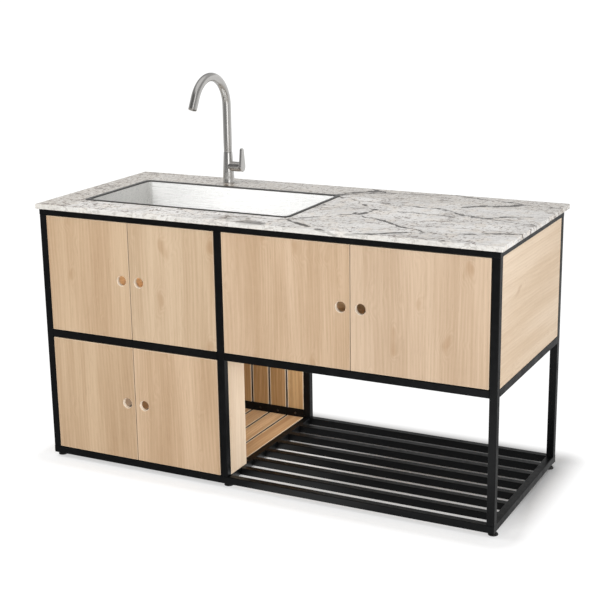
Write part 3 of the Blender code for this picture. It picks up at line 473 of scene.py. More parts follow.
panel_grains = {
    "left_upper_side_panel": "Y",
    "left_lower_side_panel": "Y",
    "right_side_panel": "Y",
    "upper_floor": "X",
    "upper_back_panel": "X",
    "upper_cheek": "Z",
    "lower_cheek": "Z",
}
for number, (node_name, grain) in enumerate(panel_grains.items()):
    # The cheeks are painted 20 levels paler as painted light for the light falling on them in the open bay;
    # the other panels are 5 levels paler in tone.
    tone_lift_and_painted_light = 20 if node_name.endswith("cheek") else 5
    light, dark = screen(232 + tone_lift_and_painted_light, 212 + tone_lift_and_painted_light, 188 + tone_lift_and_painted_light), screen(208 + tone_lift_and_painted_light, 182 + tone_lift_and_painted_light, 152 + tone_lift_and_painted_light)
    oak_board(node_name, grain, light, dark, len(door_tones) + 1 + number)


# ---------------------------------------------------------------------------------------------------
# The concealed hinges, two to a door. The arm and its plate are pressed steel, nickel plated, and the
# plate is screwed to the panel. The cup is let into the door's back and held by two screwed ears.
# ---------------------------------------------------------------------------------------------------


def make_nickel():
    """Bright nickel plate with faint drawing marks and duller patches."""
    material, tree, shader = finish("nickel_plate", screen(200, 199, 195), 0.25, 1.0)
    where = coordinates(tree)
    dull = handled(tree, where, 40.0)
    colour = tint(tree, dull, screen(205, 204, 200), screen(178, 176, 170))
    feed(tree, shader, {"Base Color": colour, "Roughness": fade(tree, dull, 0.0, 1.0, 0.20, 0.38)})
    relief(tree, shader, noise(tree, stretch(tree, where, (300, 300, 40)), 1.0, 2.0), 0.05, 0.0001)
    return material


NICKEL = make_nickel()


def laid_along(rings, axis, sign=1):
    """Rings about a vertical line, laid over so that up becomes the given axis and direction."""
    order = {0: (2, 0, 1), 1: (1, 2, 0), 2: (0, 1, 2)}[axis]
    laid = rings[..., list(order)].copy()
    laid[..., axis] *= sign
    return laid


def screw_head(centre, axis, sign, radius, height):
    """A pan head with a crossed recess: the dome's middle rings drop where an arm of the cross lies."""
    steps = 32
    angle = np.linspace(0, 2 * np.pi, steps, endpoint=False)
    profile = [(radius, 0.0)] + rounded((radius - height, 0.0), height, 20, 90, 4)
    profile += [(radius * 0.42, height), (radius * 0.40, height), (radius * 0.08, height)]
    rings = turned(profile, (0, 0, 0), steps)
    arms = np.abs(np.sin(2 * angle)) < 0.62
    rings[-2:, arms, 2] -= height * 0.7
    return skin(laid_along(rings, axis, sign) + np.array(centre))


cup_inset = 0.0225
cup_radius = 0.01725
cup_wall = 0.0006
cup_lip = 0.0008
cup_depth = 0.0115
seat_play = 0.0001
ear_reach = 0.026
ear_width = 0.012
ear_thickness = 0.001
ear_screw_inset = 0.0045
hinge_inset_share = 0.25
hinge_plate = 0.003
plate_screw_setback = 0.055
plate_screw_rise = 0.016
hinge_screw = 0.0036
ear_screw_height = 0.0018
plate_screw_height = 0.0020
cup_profile = [
    (cup_radius - cup_wall, -cup_depth), (cup_radius, -cup_depth), (cup_radius, seat_play),
    (cup_radius + cup_lip, 2 * seat_play), (cup_radius + cup_lip, ear_thickness),
    (cup_radius - cup_wall, ear_thickness),
]
for node_name in door_tones:
    low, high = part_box(node_name)
    right_hung = "right_door" in node_name
    across = high.x - cup_inset if right_hung else low.x + cup_inset
    parts = []
    inset = hinge_inset_share * (high.z - low.z)
    for height in (low.z + inset, high.z - inset):
        centre = np.array([across, high.y, height])
        parts.append(skin(laid_along(turned(cup_profile, (0, 0, 0)), 1) + centre, loop=True))
        for side in (-1, 1):
            middle = centre + (0, ear_thickness / 2 + seat_play, side * (ear_reach + cup_radius) / 2)
            half = (ear_width / 2, ear_thickness / 2, (ear_reach - cup_radius) / 2)
            parts.append(skin(slab_rings(middle, half, 2)))
            seat = centre + (0, ear_thickness + seat_play, side * (ear_reach - ear_screw_inset))
            parts.append(screw_head(seat, 1, 1, hinge_screw, ear_screw_height))
    fit(node_name + "_hinge_cups", shell(node_name + "_hinge_cups", parts), NICKEL, node_name)
    for end in ("bottom", "top"):
        arm = f"{node_name}_{end}_hinge_arm"
        dress(NICKEL, arm)
        low_arm, high_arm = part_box(arm)
        middle = (low_arm.z + high_arm.z) / 2
        face = high_arm.x - hinge_plate if right_hung else low_arm.x + hinge_plate
        screws = []
        for rise in (-plate_screw_rise, plate_screw_rise):
            seat = (face, low.y + plate_screw_setback, middle + rise)
            screws.append(screw_head(seat, 0, -1 if right_hung else 1, hinge_screw, plate_screw_height))
        fit(arm + "_screws", shell(arm + "_screws", screws), NICKEL)


# ---------------------------------------------------------------------------------------------------
# The slatted floor and back of the lower left bay. The slats are about 66 mm wide, of a darker, oiled
# oak, each with a tone of its own, and the back ones are screwed to a black steel ledger.
# ---------------------------------------------------------------------------------------------------

slat_margin = 0.002
slat_spacing = 0.007
slat_count = 9
slat_thickness = 0.0142
batten_play = 0.0003
back_low, back_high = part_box("slatted_back")
floor_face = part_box("slatted_floor")[1].z
bay_left = back_low.x - batten_play
bay_width = back_high.x + batten_play - bay_left
slat_first = bay_left + slat_margin
slat_width = (bay_width - 2 * slat_margin - (slat_count - 1) * slat_spacing) / slat_count
slat_pitch = slat_width + slat_spacing


def make_slats(name, grain, light, dark, seed, axis, face):
    """Slat timber: the slat's number shifts its grain and its tone by white noise.

    The rims are painted pale as a painted highlight on the slats' arrises, and the flanks dark as a painted
    shade in the gaps between slats; both end a slat's thickness from the face, so the battens stay plain.
    """
    material, tree, shader = finish(name, light, 0.55, Specular_IOR_Level=0.3)
    where = coordinates(tree)
    places = split(tree, where)
    number = calc(tree, "DIVIDE", calc(tree, "SUBTRACT", places[0], slat_first), slat_pitch)
    number = calc(tree, "FLOOR", number)
    own = add(tree, "TexWhiteNoise", {"W": calc(tree, "ADD", number, seed)}, noise_dimensions="1D")
    shift = calc_vector(tree, "MULTIPLY", own["Color"], (7.0, 7.0, 7.0))[0]
    moved = calc_vector(tree, "ADD", where, shift)[0]
    grained = stretch(tree, moved, turn=grain_turns[grain])
    sockets = {"Vector": grained, "Light": light, "Dark": dark, "Pores": 0.6, "Knots": 0.8}
    grain_of = place_effect(tree, OAK_GRAIN, sockets)
    colour = tint(tree, fade(tree, own["Value"], 0.0, 1.0, 0.0, 0.45), grain_of["Color"], dark)
    centre = calc(tree, "MULTIPLY_ADD", number, slat_pitch, slat_first + slat_width / 2)
    reach = calc(tree, "ABSOLUTE", calc(tree, "SUBTRACT", places[0], centre))
    # The rim is a painted highlight along each slat's edges.
    rim = fade(tree, reach, slat_width / 2 - 0.0042, slat_width / 2 - 0.0022)
    on_slat = calc(tree, "COMPARE", places[axis], face, slat_thickness)
    colour = tint(tree, times(tree, rim, on_slat, 0.75), colour, screen(250, 232, 204))
    # The flanks are a painted shade of the gaps between the slats.
    painted_slat_gap_shade = fade(tree, facing(tree, 0), 0.5, 0.9)
    colour = tint(tree, times(tree, painted_slat_gap_shade, on_slat, 0.96), colour, screen(44, 28, 18))
    feed(tree, shader, {"Base Color": colour, "Roughness": grain_of["Roughness"]})
    relief(tree, shader, grain_of["Height"], 0.35, 0.0003)
    return material


back_oak = (screen(220, 184, 136), screen(150, 112, 70))
floor_oak = (screen(238, 204, 162), screen(176, 136, 96))
dress(make_slats("slat_back_oak", "Z", *back_oak, 3, 1, back_low.y), "slatted_back")
dress(make_slats("slat_floor_oak", "Y", *floor_oak, 11, 2, floor_face), "slatted_floor")


def make_dark_zinc():
    """Blackened zinc screws, greyer on their worn tops."""
    material, tree, shader = finish("dark_zinc", screen(70, 70, 70), 0.35, 1.0)
    worn = handled(tree, coordinates(tree), 60.0)
    feed(tree, shader, {"Base Color": tint(tree, worn, screen(58, 58, 60), screen(120, 119, 116))})
    return material


ledger_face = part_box("back_bottom_rail")[0].y
ledger_screw_level = 0.053
ledger_screw = 0.0045
ledger_screw_height = 0.0024
heads = []
for number in range(slat_count):
    seat = (slat_first + number * slat_pitch + slat_width / 2, ledger_face, ledger_screw_level)
    heads.append(screw_head(seat, 1, -1, ledger_screw, ledger_screw_height))
fit("ledger_screws", shell("ledger_screws", heads), make_dark_zinc())


# ---------------------------------------------------------------------------------------------------
# The worktop. It is one 16 mm slab of pale grey stone, polished, with dark broken veins round large
# plates and many small flecks; its edges are eased, and its front and back faces are painted almost white as
# a painted highlight.
# ---------------------------------------------------------------------------------------------------


def make_stone():
    """Stone with veins along bent Voronoi borders and hairs where bent noise is one half, kept in patches.

    Finer noise gives flecks. Veins and clouds grow to the right, and the outer strips are warmer.
    """
    material, tree, shader = finish(
        "pale_stone", screen(226, 223, 218), 0.16, Coat_Weight=0.10, Coat_Roughness=0.05
    )
    where = coordinates(tree)
    warp = add(tree, "TexNoise", {"Vector": where, "Scale": 6.0, "Detail": 7.0, "Roughness": 0.66})[1]
    push = calc_vector(tree, "SUBTRACT", warp, (0.5, 0.5, 0.5))[0]
    push = calc_vector(tree, "MULTIPLY", push, (0.06, 0.11, 0.0))[0]
    bent = calc_vector(tree, "ADD", stretch(tree, where, (0.42, 1.0, 1.0), turn=(0, 0, 0.10)), push)[0]
    x, y = split(tree, where)[:2]
    rightward = fade(tree, x, -0.25, 0.15)

    def patches(scale, low, high, place):
        return fade(tree, noise(tree, stretch(tree, where, place=place), scale, 3.0, 0.6), low, high)

    def spread(mask, share, colour, stain):
        return tint(tree, times(tree, mask, share), colour, screen(*stain))

    plates = {"Vector": stretch(tree, bent, place=(3, 1, 0)), "Scale": 5.2}
    border = add(tree, "TexVoronoi", plates, feature="DISTANCE_TO_EDGE")["Distance"]
    taper = fade(tree, noise(tree, where, 14.0, 3.0, 0.6), 0.40, 0.66)
    border = calc(tree, "MULTIPLY_ADD", taper, 0.018, border)
    kept = times(
        tree, patches(11.0, 0.42, 0.47, (2, 9, 0)), calc(tree, "MULTIPLY_ADD", rightward, 0.85, 0.15)
    )
    veins = times(tree, fade(tree, border, 0.018, 0.027, 1.0, 0.0), kept)
    beside = times(tree, fade(tree, border, 0.01, 0.12, 1.0, 0.0), patches(4.0, 0.42, 0.58, (2, 9, 0)))
    crossing = calc(tree, "SUBTRACT", noise(tree, stretch(tree, bent, place=(7, 5, 0)), 7.0, 6.0, 0.58), 0.5)
    hairs = fade(tree, calc(tree, "ABSOLUTE", crossing), 0.005, 0.012, 1.0, 0.0)
    hairs = times(tree, hairs, patches(8.0, 0.42, 0.48, (5, 3, 0)))
    mottle = fade(tree, noise(tree, where, 8.0, 6.0, 0.68), 0.38, 0.62)
    cloudy = times(tree, fade(tree, noise(tree, bent, 9.0, 5.0, 0.62), 0.48, 0.64), rightward)
    warm = fade(tree, noise(tree, where, 20.0, 4.0, 0.65), 0.47, 0.62)
    left_strip, back_strip = fade(tree, x, -0.73, -0.67, 0.12, 0.0), fade(tree, y, 0.16, 0.20, 0.0, 0.09)
    outer = calc(tree, "MAXIMUM", left_strip, back_strip)
    crowd = calc(tree, "MULTIPLY_ADD", rightward, -0.03, noise(tree, where, 9.0, 4.0, 0.65))
    crowd = fade(tree, calc(tree, "ADD", crowd, outer), 0.38, 0.56)
    grain = noise(tree, stretch(tree, where, (0.75, 0.55, 1.0)), 105.0, 4.0, 0.75)
    flecks = times(tree, fade(tree, grain, 0.54, 0.60), calc(tree, "MULTIPLY_ADD", crowd, 0.72, 0.24))

    colour = tint(tree, mottle, screen(216, 212, 207), screen(242, 239, 235))
    colour = spread(cloudy, 0.50, colour, (192, 189, 186))
    colour = spread(beside, 0.22, colour, (178, 168, 156))
    colour = spread(warm, 0.50, colour, (232, 218, 200))
    colour = spread(outer, 6.0, colour, (180, 171, 158))
    colour = spread(fade(tree, grain, 0.47, 0.38), 0.55, colour, (246, 244, 240))
    colour = tint(tree, flecks, colour, screen(98, 78, 62))
    colour = spread(hairs, 0.80, colour, (94, 74, 56))
    colour = spread(veins, 0.97, colour, (44, 33, 24))
    # The front and back faces are painted paler: a painted highlight for the light the slab's edges catch.
    colour = spread(fade(tree, facing(tree, 1), 0.25, 0.9), 0.65, colour, (228, 226, 221))
    feed(tree, shader, {"Base Color": colour, "Roughness": fade(tree, veins, 0.0, 1.0, 0.16, 0.34)})
    relief(tree, shader, calc(tree, "SUBTRACT", 0.0, veins), 0.10, 0.0002)
    return material


dress(make_stone(), "worktop")


# ---------------------------------------------------------------------------------------------------
# The sink. It is pressed from 1.2 mm stainless sheet, with a flat brushed flange, a tight rolled lip,
# upright walls and a floor that falls to the waste, and it is bedded on a dark bead of sealant.
# ---------------------------------------------------------------------------------------------------


def make_steel(name, colour, brush, rough_low, rough_high, metallic, strength):
    """Brushed stainless steel: drawn-out noise along the brushing sets the roughness and a fine relief."""
    material, tree, shader = finish(name, colour, rough_low, metallic)
    where = coordinates(tree)
    lines = noise(tree, stretch(tree, where, brush), 1.0, 3.0, 0.6)
    dark = tuple(channel * 0.93 for channel in colour[:3]) + (1.0,)
    rough = fade(tree, lines, 0.3, 0.7, rough_low, rough_high)
    rough = calc(tree, "MULTIPLY_ADD", handled(tree, where, 8.0), 0.03, rough)
    colour = tint(tree, fade(tree, lines, 0.3, 0.7), dark, colour)
    feed(tree, shader, {"Base Color": colour, "Roughness": rough})
    relief(tree, shader, lines, strength, 0.0001)
    return material


SHEET = make_steel("satin_sheet", (0.99, 0.99, 0.98, 1.0), (12, 420, 420), 0.24, 0.34, 0.30, 0.01)


def paint_sink_shade(height, end):
    """Two masks by place, both painted light: the flange is darkened as a painted shade and dark reflection,
    and the left end wall is greyed as a painted shade.
    """
    tree = SHEET.node_tree
    shader = tree.nodes["Principled BSDF"]
    colour = shader.inputs["Base Color"].links[0].from_socket
    places = split(tree, coordinates(tree))
    # Painted shade: the left end wall is greyed by its place.
    painted_end_wall_shade = fade(tree, places[0], end + 0.022, end + 0.034, 0.80, 0.0)
    colour = tint(tree, painted_end_wall_shade, colour, screen(168, 167, 163))
    # Painted shade and dark reflection: the flange is darkened.
    painted_flange_shade = fade(tree, places[2], height - 0.0048, height - 0.0020)
    feed(tree, shader, {"Base Color": tint(tree, painted_flange_shade, colour, screen(50, 48, 46))})


corner_steps = 12
ring_points = 4 * (corner_steps + 1)


def rounded_rectangle(width, depth, radius, height):
    """A level ring with quarter-circle corners: each corner's centre plus the radius at each angle."""
    corner = np.repeat(np.arange(4), corner_steps + 1)
    angle = (corner - 1) * np.pi / 2 + np.tile(np.linspace(0, np.pi / 2, corner_steps + 1), 4)
    across = np.array([1, 1, -1, -1])[corner] * (width / 2 - radius)
    up = np.array([-1, 1, 1, -1])[corner] * (depth / 2 - radius)
    level = np.full(ring_points, height)
    return np.stack([across + radius * np.cos(angle), up + radius * np.sin(angle), level], axis=-1)


def circle_ring(radius, height):
    """A level circle whose points keep in step with those of a rounded rectangle."""
    angle = (np.arange(ring_points) + 0.5) * 2 * np.pi / ring_points - np.pi / 2
    return np.column_stack([radius * np.cos(angle), radius * np.sin(angle), np.full(ring_points, height)])


sink_low, sink_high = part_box("sink")
sink_middle = np.array([(sink_low.x + sink_high.x) / 2, (sink_low.y + sink_high.y) / 2, 0.0])
length = sink_high.x - sink_low.x
width = sink_high.y - sink_low.y
rim = sink_high.z
paint_sink_shade(rim, sink_low.x)
sheet = 0.0012
rim_corner = 0.020
rim_ease = 0.0003
flange = 0.012
lip = 0.004
bowl_corner = 0.016
bowl_depth = 0.190
floor_radius = 0.018
floor_corner_growth = 0.008
floor_fall = 0.004
sink_floor = rim - bowl_depth
dip = sink_floor - floor_fall
seat = dip - 0.003
seat_radius = 0.056
waste_bore = 0.042
waste_depth = 0.040
tail_bore = 0.019
waste_ease = 0.001

sink_rings = [
    rounded_rectangle(length, width, rim_corner, rim - sheet),
    rounded_rectangle(length, width, rim_corner, rim - rim_ease),
    rounded_rectangle(length - 0.0008, width - 0.0008, rim_corner, rim),
]
for angle in np.linspace(0, np.pi / 2, 8):
    draw = 2 * flange + 2 * lip * np.sin(angle)
    corner = bowl_corner + lip * (1 - np.sin(angle))
    sink_rings.append(rounded_rectangle(length - draw, width - draw, corner, rim - lip * (1 - np.cos(angle))))
for angle in np.linspace(0, np.pi / 2, 9):
    draw = 2 * (flange + lip) + 2 * floor_radius * (1 - np.cos(angle))
    corner = bowl_corner + floor_corner_growth * (1 - np.cos(angle))
    height = sink_floor + floor_radius * (1 - np.sin(angle))
    sink_rings.append(rounded_rectangle(length - draw, width - draw, corner, height))
for radius, height in (
    (seat_radius + 0.0055, dip + 0.0004),
    (seat_radius + 0.0020, dip - 0.0008),
    (seat_radius, seat),
    (waste_bore + 0.0008, seat),
    (waste_bore, seat - waste_ease),
    (waste_bore, seat - waste_depth + 2 * waste_ease),
    (waste_bore - 2 * waste_ease, seat - waste_depth),
    (tail_bore + waste_ease, seat - waste_depth),
    (tail_bore, seat - waste_depth - waste_ease),
    (tail_bore, sink_low.z),
):
    sink_rings.append(circle_ring(radius, height))
inner = np.array(sink_rings)


def second_wall(rings, thickness):
    """The same rings moved by a thickness against the surface's normal, taken from its two tangents."""
    along = np.gradient(rings, axis=0)
    around = np.roll(rings, -1, axis=1) - np.roll(rings, 1, axis=1)
    normal = np.cross(along, around)
    normal /= np.linalg.norm(normal, axis=2, keepdims=True)
    return rings + thickness * normal


outer = second_wall(inner[3:], sheet)
if outer[3, 0, 2] > inner[6, 0, 2]:
    outer = second_wall(inner[3:], -sheet)
outer[:, :, 2] = np.clip(outer[:, :, 2], sink_low.z, rim - sheet)
walls = np.concatenate([inner, outer[::-1]])
sink_mesh = shell("sink_bowl", [skin(walls + sink_middle, loop=True)], 40.0)
fit("sink_bowl", sink_mesh, SHEET, instead_of=("sink",))


def make_sealant():
    """Dark grey sealant, smooth and slightly glossy."""
    material, tree, shader = finish("grey_sealant", screen(62, 60, 58), 0.4)
    cloudy = noise(tree, coordinates(tree), 80.0)
    feed(tree, shader, {"Base Color": tint(tree, cloudy, screen(52, 50, 48), screen(74, 72, 69))})
    return material


bead = 0.0016
bead_height = 0.0009
bead_root = -0.002
stone_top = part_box("worktop")[1].z
bead_profile = [(bead, 0.0), (bead * 0.85, bead_height * 0.6), (bead * 0.4, bead_height)]
bead_profile += [(bead_root, bead_height), (bead_root, 0.0)]
bead_rings = []
for reach, height in bead_profile:
    level = stone_top + height * 0.33
    bead_rings.append(rounded_rectangle(length + 2 * reach, width + 2 * reach, rim_corner + reach, level))
bead_mesh = shell("sink_sealant", [skin(np.array(bead_rings) + sink_middle, loop=True)])
fit("sink_sealant", bead_mesh, make_sealant())


# ---------------------------------------------------------------------------------------------------
# The strainer. It is a pressed stainless basket with slots round its wall and in its floor, a flat
# rim that lies in the waste, and a turned knob to lift it by.
# ---------------------------------------------------------------------------------------------------

strainer_low, strainer_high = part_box("sink_strainer")
strainer_middle = (
    (strainer_low.x + strainer_high.x) / 2, (strainer_low.y + strainer_high.y) / 2, seat + 0.0003
)
slots = 18
steps_round = slots * 4
wall_profile = [
    (0.0516, 0.0004), (0.0516, 0.0012), (0.0505, 0.0014), (0.0400, 0.0014), (0.0385, 0.0012),
    (0.0376, 0.0002), (0.0375, -0.003), (0.0372, -0.014), (0.0366, -0.017), (0.0345, -0.0205),
    (0.0320, -0.0212), (0.0150, -0.0212), (0.0080, -0.0212), (0.0031, -0.0212),
]
slotted_rows = (6, 10)
basket = turned(wall_profile, strainer_middle, steps_round)
index = np.arange(basket.shape[0] * steps_round).reshape(basket.shape[0], steps_round)
beside = np.roll(index, -1, axis=1)
basket_faces = np.stack([index[:-1], beside[:-1], beside[1:], index[1:]], axis=-1)
in_row = np.isin(np.arange(len(basket_faces)), slotted_rows)
in_slot = np.isin(np.arange(steps_round) % 4, (1, 2))
basket_mesh = bpy.data.meshes.new("strainer_basket")
kept_faces = basket_faces[~(in_row[:, None] & in_slot)]
basket_mesh.from_pydata(basket.reshape(-1, 3).tolist(), [], kept_faces.tolist())
basket_mesh.shade_smooth()
basket_mesh.set_sharp_from_angle(angle=np.radians(40))
basket_piece = fit(
    "strainer_basket", basket_mesh, SHEET, "sink_strainer", instead_of=("sink_strainer",)
)
thicken = basket_piece.modifiers.new("wall", "SOLIDIFY")
thicken.thickness = 0.0006
thicken.offset = 0

knob_stem = 0.0030
knob_centre = 0.0052
knob_round = 0.0018
knob_profile = [(knob_stem, -0.0216), (knob_stem, knob_centre)]
knob_profile += rounded((knob_centre, 0.0088), knob_round, 225, 360, 4)
knob_profile += rounded((knob_centre, 0.0120), knob_round, 0, 90, 4)
knob = shell("strainer_knob", [skin(turned(knob_profile, strainer_middle, 32))])
fit("strainer_knob", knob, SHEET, "sink_strainer")


# ---------------------------------------------------------------------------------------------------
# The mixer tap. Its column and side barrel are turned and brushed, and a nut clamps the column
# through the slab. The spout is a bent tube that swivels in the column's neck.
# ---------------------------------------------------------------------------------------------------

BRUSHED = make_steel("brushed_tap", screen(208, 206, 203), (700, 700, 12), 0.16, 0.22, 1.0, 0.002)
tap_x, tap_y = -0.413, 0.262


def fit_tap(name, rings, body="cabinet", instead_of=()):
    """Puts a turned or drawn piece of the tap on its body."""
    fit(name, shell(name, [skin(rings)], 28.0), BRUSHED, body, instead_of)


shank = 0.0155
shank_end = -0.0343
nut = 0.0210
nut_bottom, nut_top = -0.0253, -0.0165
column_play = 0.0003
column_foot = 0.0215
column_round = 0.0012
column_base = 0.0203
column_shoulder = 0.020
column_neck = 0.0155
neck = 0.110
neck_bore = 0.0113
column = [(shank - 0.0005, shank_end), (shank, shank_end + 0.0003), (shank, nut_bottom), (nut, nut_bottom)]
column += [(nut, nut_top), (shank, nut_top), (shank, column_play), (column_foot - 0.0002, column_play)]
column += [(column_foot, 2 * column_play)]
column += rounded((column_foot - column_round, 0.0027), column_round, 0, 80, 5)
column += [(column_base + 0.0002, 0.0043), (column_base, 0.0050), (column_base, column_shoulder)]
column += [(column_neck + 0.0003, neck - 0.0022), (column_neck - 0.0002, neck - 0.0006)]
column += [(column_neck - 0.0005, neck), (neck_bore, neck), (neck_bore - 0.0002, neck - 0.0163)]
fit_tap("tap_column", turned(column, (tap_x, tap_y, stone_top), 64), instead_of=("tap_body",))

barrel_z = stone_top + 0.059
barrel_root = 0.006
barrel_length = 0.0515
barrel_end = tap_x + barrel_length
barrel_radius = 0.0175
barrel_edge = 0.001
groove_start, groove_end = 0.0300, 0.0312
groove_depth = 0.0003
stem_bore = 0.0066
stem_bore_end = 0.0430
barrel = [(barrel_radius, barrel_root), (barrel_radius, groove_start)]
barrel += [(barrel_radius - groove_depth, groove_start + groove_depth)]
barrel += [(barrel_radius - groove_depth, groove_end - groove_depth), (barrel_radius, groove_end)]
barrel += [(barrel_radius, barrel_length - barrel_edge)]
barrel += rounded((barrel_radius - barrel_edge, barrel_length - barrel_edge), barrel_edge, 0, 90, 4)
barrel += [(stem_bore, barrel_length), (stem_bore, stem_bore_end)]
fit_tap("tap_barrel", laid_along(turned(barrel, (0, 0, 0), 64), 0) + np.array([tap_x, tap_y, barrel_z]))

stem_radius = 0.0060
stem_ease = 0.0002
stem_inner, stem_outer = -0.0077, 0.0003
stem = [(stem_radius - stem_ease, stem_inner), (stem_radius, stem_inner + stem_ease)]
stem += [(stem_radius, stem_outer - stem_ease), (stem_radius - stem_ease, stem_outer)]
stem_rings = laid_along(turned(stem, (0, 0, 0), 40), 0) + np.array([barrel_end, tap_y, barrel_z])
fit_tap("cartridge_stem", stem_rings, "tap_stem", ("tap_stem",))

spout_radius = 0.015
spout_play = 0.0003
arc_radius = 0.113
arc_rise = 0.2741
arc_sweep = np.radians(152)
arc_tip = 0.044
spout_ease = 0.0006
mouth_bore = 0.0118
aerator_depth = 0.0050


def spout_frames():
    """Centres and in-plane normals along the spout: up, round an arc and straight on to the tip."""
    rise = np.linspace(neck + spout_play, arc_rise, 6)
    upright = np.stack([np.zeros(6), np.zeros(6), rise], axis=-1)
    angle = np.linspace(0, arc_sweep, 46)[1:]
    arc = [np.zeros(45), arc_radius * (np.cos(angle) - 1), arc_rise + arc_radius * np.sin(angle)]
    arc = np.stack(arc, axis=-1)
    heading = np.array([0, -np.sin(arc_sweep), np.cos(arc_sweep)])
    tip = arc[-1] + np.linspace(0.2, 1, 5)[:, None] * arc_tip * heading
    turn = np.concatenate([np.zeros(6), angle, np.full(5, arc_sweep)])
    normal = np.stack([np.zeros(len(turn)), np.cos(turn), np.sin(turn)], axis=-1)
    return np.concatenate([upright, arc, tip]), normal, heading


def spout_rings():
    """Circles square to the centre line, then a rounded mouth and a bore that ends at the aerator."""
    centres, normal, heading = spout_frames()
    radius = np.full(len(centres), spout_radius)
    radius[0] = spout_radius - spout_ease
    shift = np.zeros(len(centres))
    shift[-1] = -0.0005
    mouth = [(spout_radius - 0.0003, 0.0), (mouth_bore + 0.0010, 0.0), (mouth_bore + 0.0004, 0.0)]
    mouth += [(mouth_bore, -spout_ease), (mouth_bore, -aerator_depth)]
    mouth += [(mouth_bore - spout_ease, -aerator_depth)]
    mouth += [(mouth_bore - spout_ease, spout_ease - aerator_depth)]
    mouth += [(mouth_bore - 0.0018, 0.0010 - aerator_depth)]
    mouth_radius, mouth_shift = np.array(mouth).T
    centres = np.concatenate([centres, np.repeat(centres[-1:], len(mouth), axis=0)])
    normal = np.concatenate([normal, np.repeat(normal[-1:], len(mouth), axis=0)])
    radius = np.concatenate([radius, mouth_radius])
    shift = np.concatenate([shift, mouth_shift])
    angle = np.linspace(0, 2 * np.pi, 48, endpoint=False)
    sideways = np.array([1.0, 0.0, 0.0])
    circle = np.cos(angle)[None, :, None] * sideways + np.sin(angle)[None, :, None] * normal[:, None, :]
    return (centres + shift[:, None] * heading)[:, None, :] + radius[:, None, None] * circle


spout = spout_rings() + np.array([tap_x, tap_y, stone_top])
fit_tap("tap_gooseneck", spout, "tap_spout", ("tap_spout",))

lever_tip = 0.009
lever_length = 0.058
lever_thickness = 0.009
lever_inner = 0.0006
lever_relief = np.radians(16)
lever_edges = (
    (0.0, 0.0018), (0.0005, 0.0006), (0.0018, 0.0), (0.0070, 0.0), (0.0084, 0.0007), (0.0090, 0.0024)
)


def lever_rings():
    """A paddle: its outline is two arcs and their tangents, and each ring is that outline drawn in a little.

    The lower half of the inner face slopes away from the barrel, which leaves it room to tilt.
    """
    lean = np.arcsin((barrel_radius - lever_tip) / lever_length)
    upper = np.linspace(lean, np.pi - lean, 20)
    lower = np.linspace(np.pi - lean, 2 * np.pi + lean, 32)
    angle = np.concatenate([upper, lower])
    middle = np.repeat([lever_length, 0.0], [20, 32])
    radius = np.repeat([lever_tip, barrel_radius], [20, 32])
    rings = []
    for depth, inset in lever_edges:
        y = (radius - inset) * np.cos(angle)
        z = middle + (radius - inset) * np.sin(angle)
        slope = np.clip(-z, 0, None) * np.tan(lever_relief)
        x = lever_inner + depth + slope * (1 - depth / lever_thickness)
        rings.append(np.stack([x, y, z], axis=-1))
    return np.array(rings)


lever = lever_rings() + np.array([barrel_end, tap_y, barrel_z])
fit_tap("mixer_paddle", lever, "tap_lever", ("tap_lever",))


# ---------------------------------------------------------------------------------------------------
# The studio: a white floor and a white background for the camera, a grey surround with one bright
# soft box for polished metal, three large soft lamps, three small ones inside, and the camera.
# ---------------------------------------------------------------------------------------------------


def make_surround():
    """What polished metal sees round it: grey, with a bright soft box in front and a paler wall behind."""
    group, given, made = effect("surround", [("Vector", "Vector", (0, 0, 0))], [("Value", "Float")])
    towards = split(group, given["Vector"])
    turn = calc(group, "ARCTAN2", towards[1], towards[0])
    left, right = fade(group, turn, -2.75, -2.45, 0.50, 0.26), fade(group, turn, -1.40, -1.10, 0.0, 0.36)
    soft_box = times(group, fade(group, turn, -1.10, -0.97), fade(group, turn, -0.78, -0.62, 1.0, 0.0))
    pale_wall = times(group, fade(group, turn, 0.3, 0.9), fade(group, turn, 1.5, 2.2, 1.0, 0.0))
    level = calc(group, "MULTIPLY_ADD", pale_wall, 0.25, calc(group, "ADD", left, right))
    level = calc(group, "MULTIPLY_ADD", soft_box, 1.7, level)
    band = times(group, fade(group, towards[2], 0.27, 0.42), 0.45)
    level = times(group, level, calc(group, "SUBTRACT", 1.0, band))
    ceiling = fade(group, towards[2], 0.72, 0.92)
    feed(group, made, {"Value": add(group, "Mix", {0: ceiling, 2: level, 3: 0.80})[0]})
    return group


SURROUND = make_surround()
white = (1, 1, 1, 1)


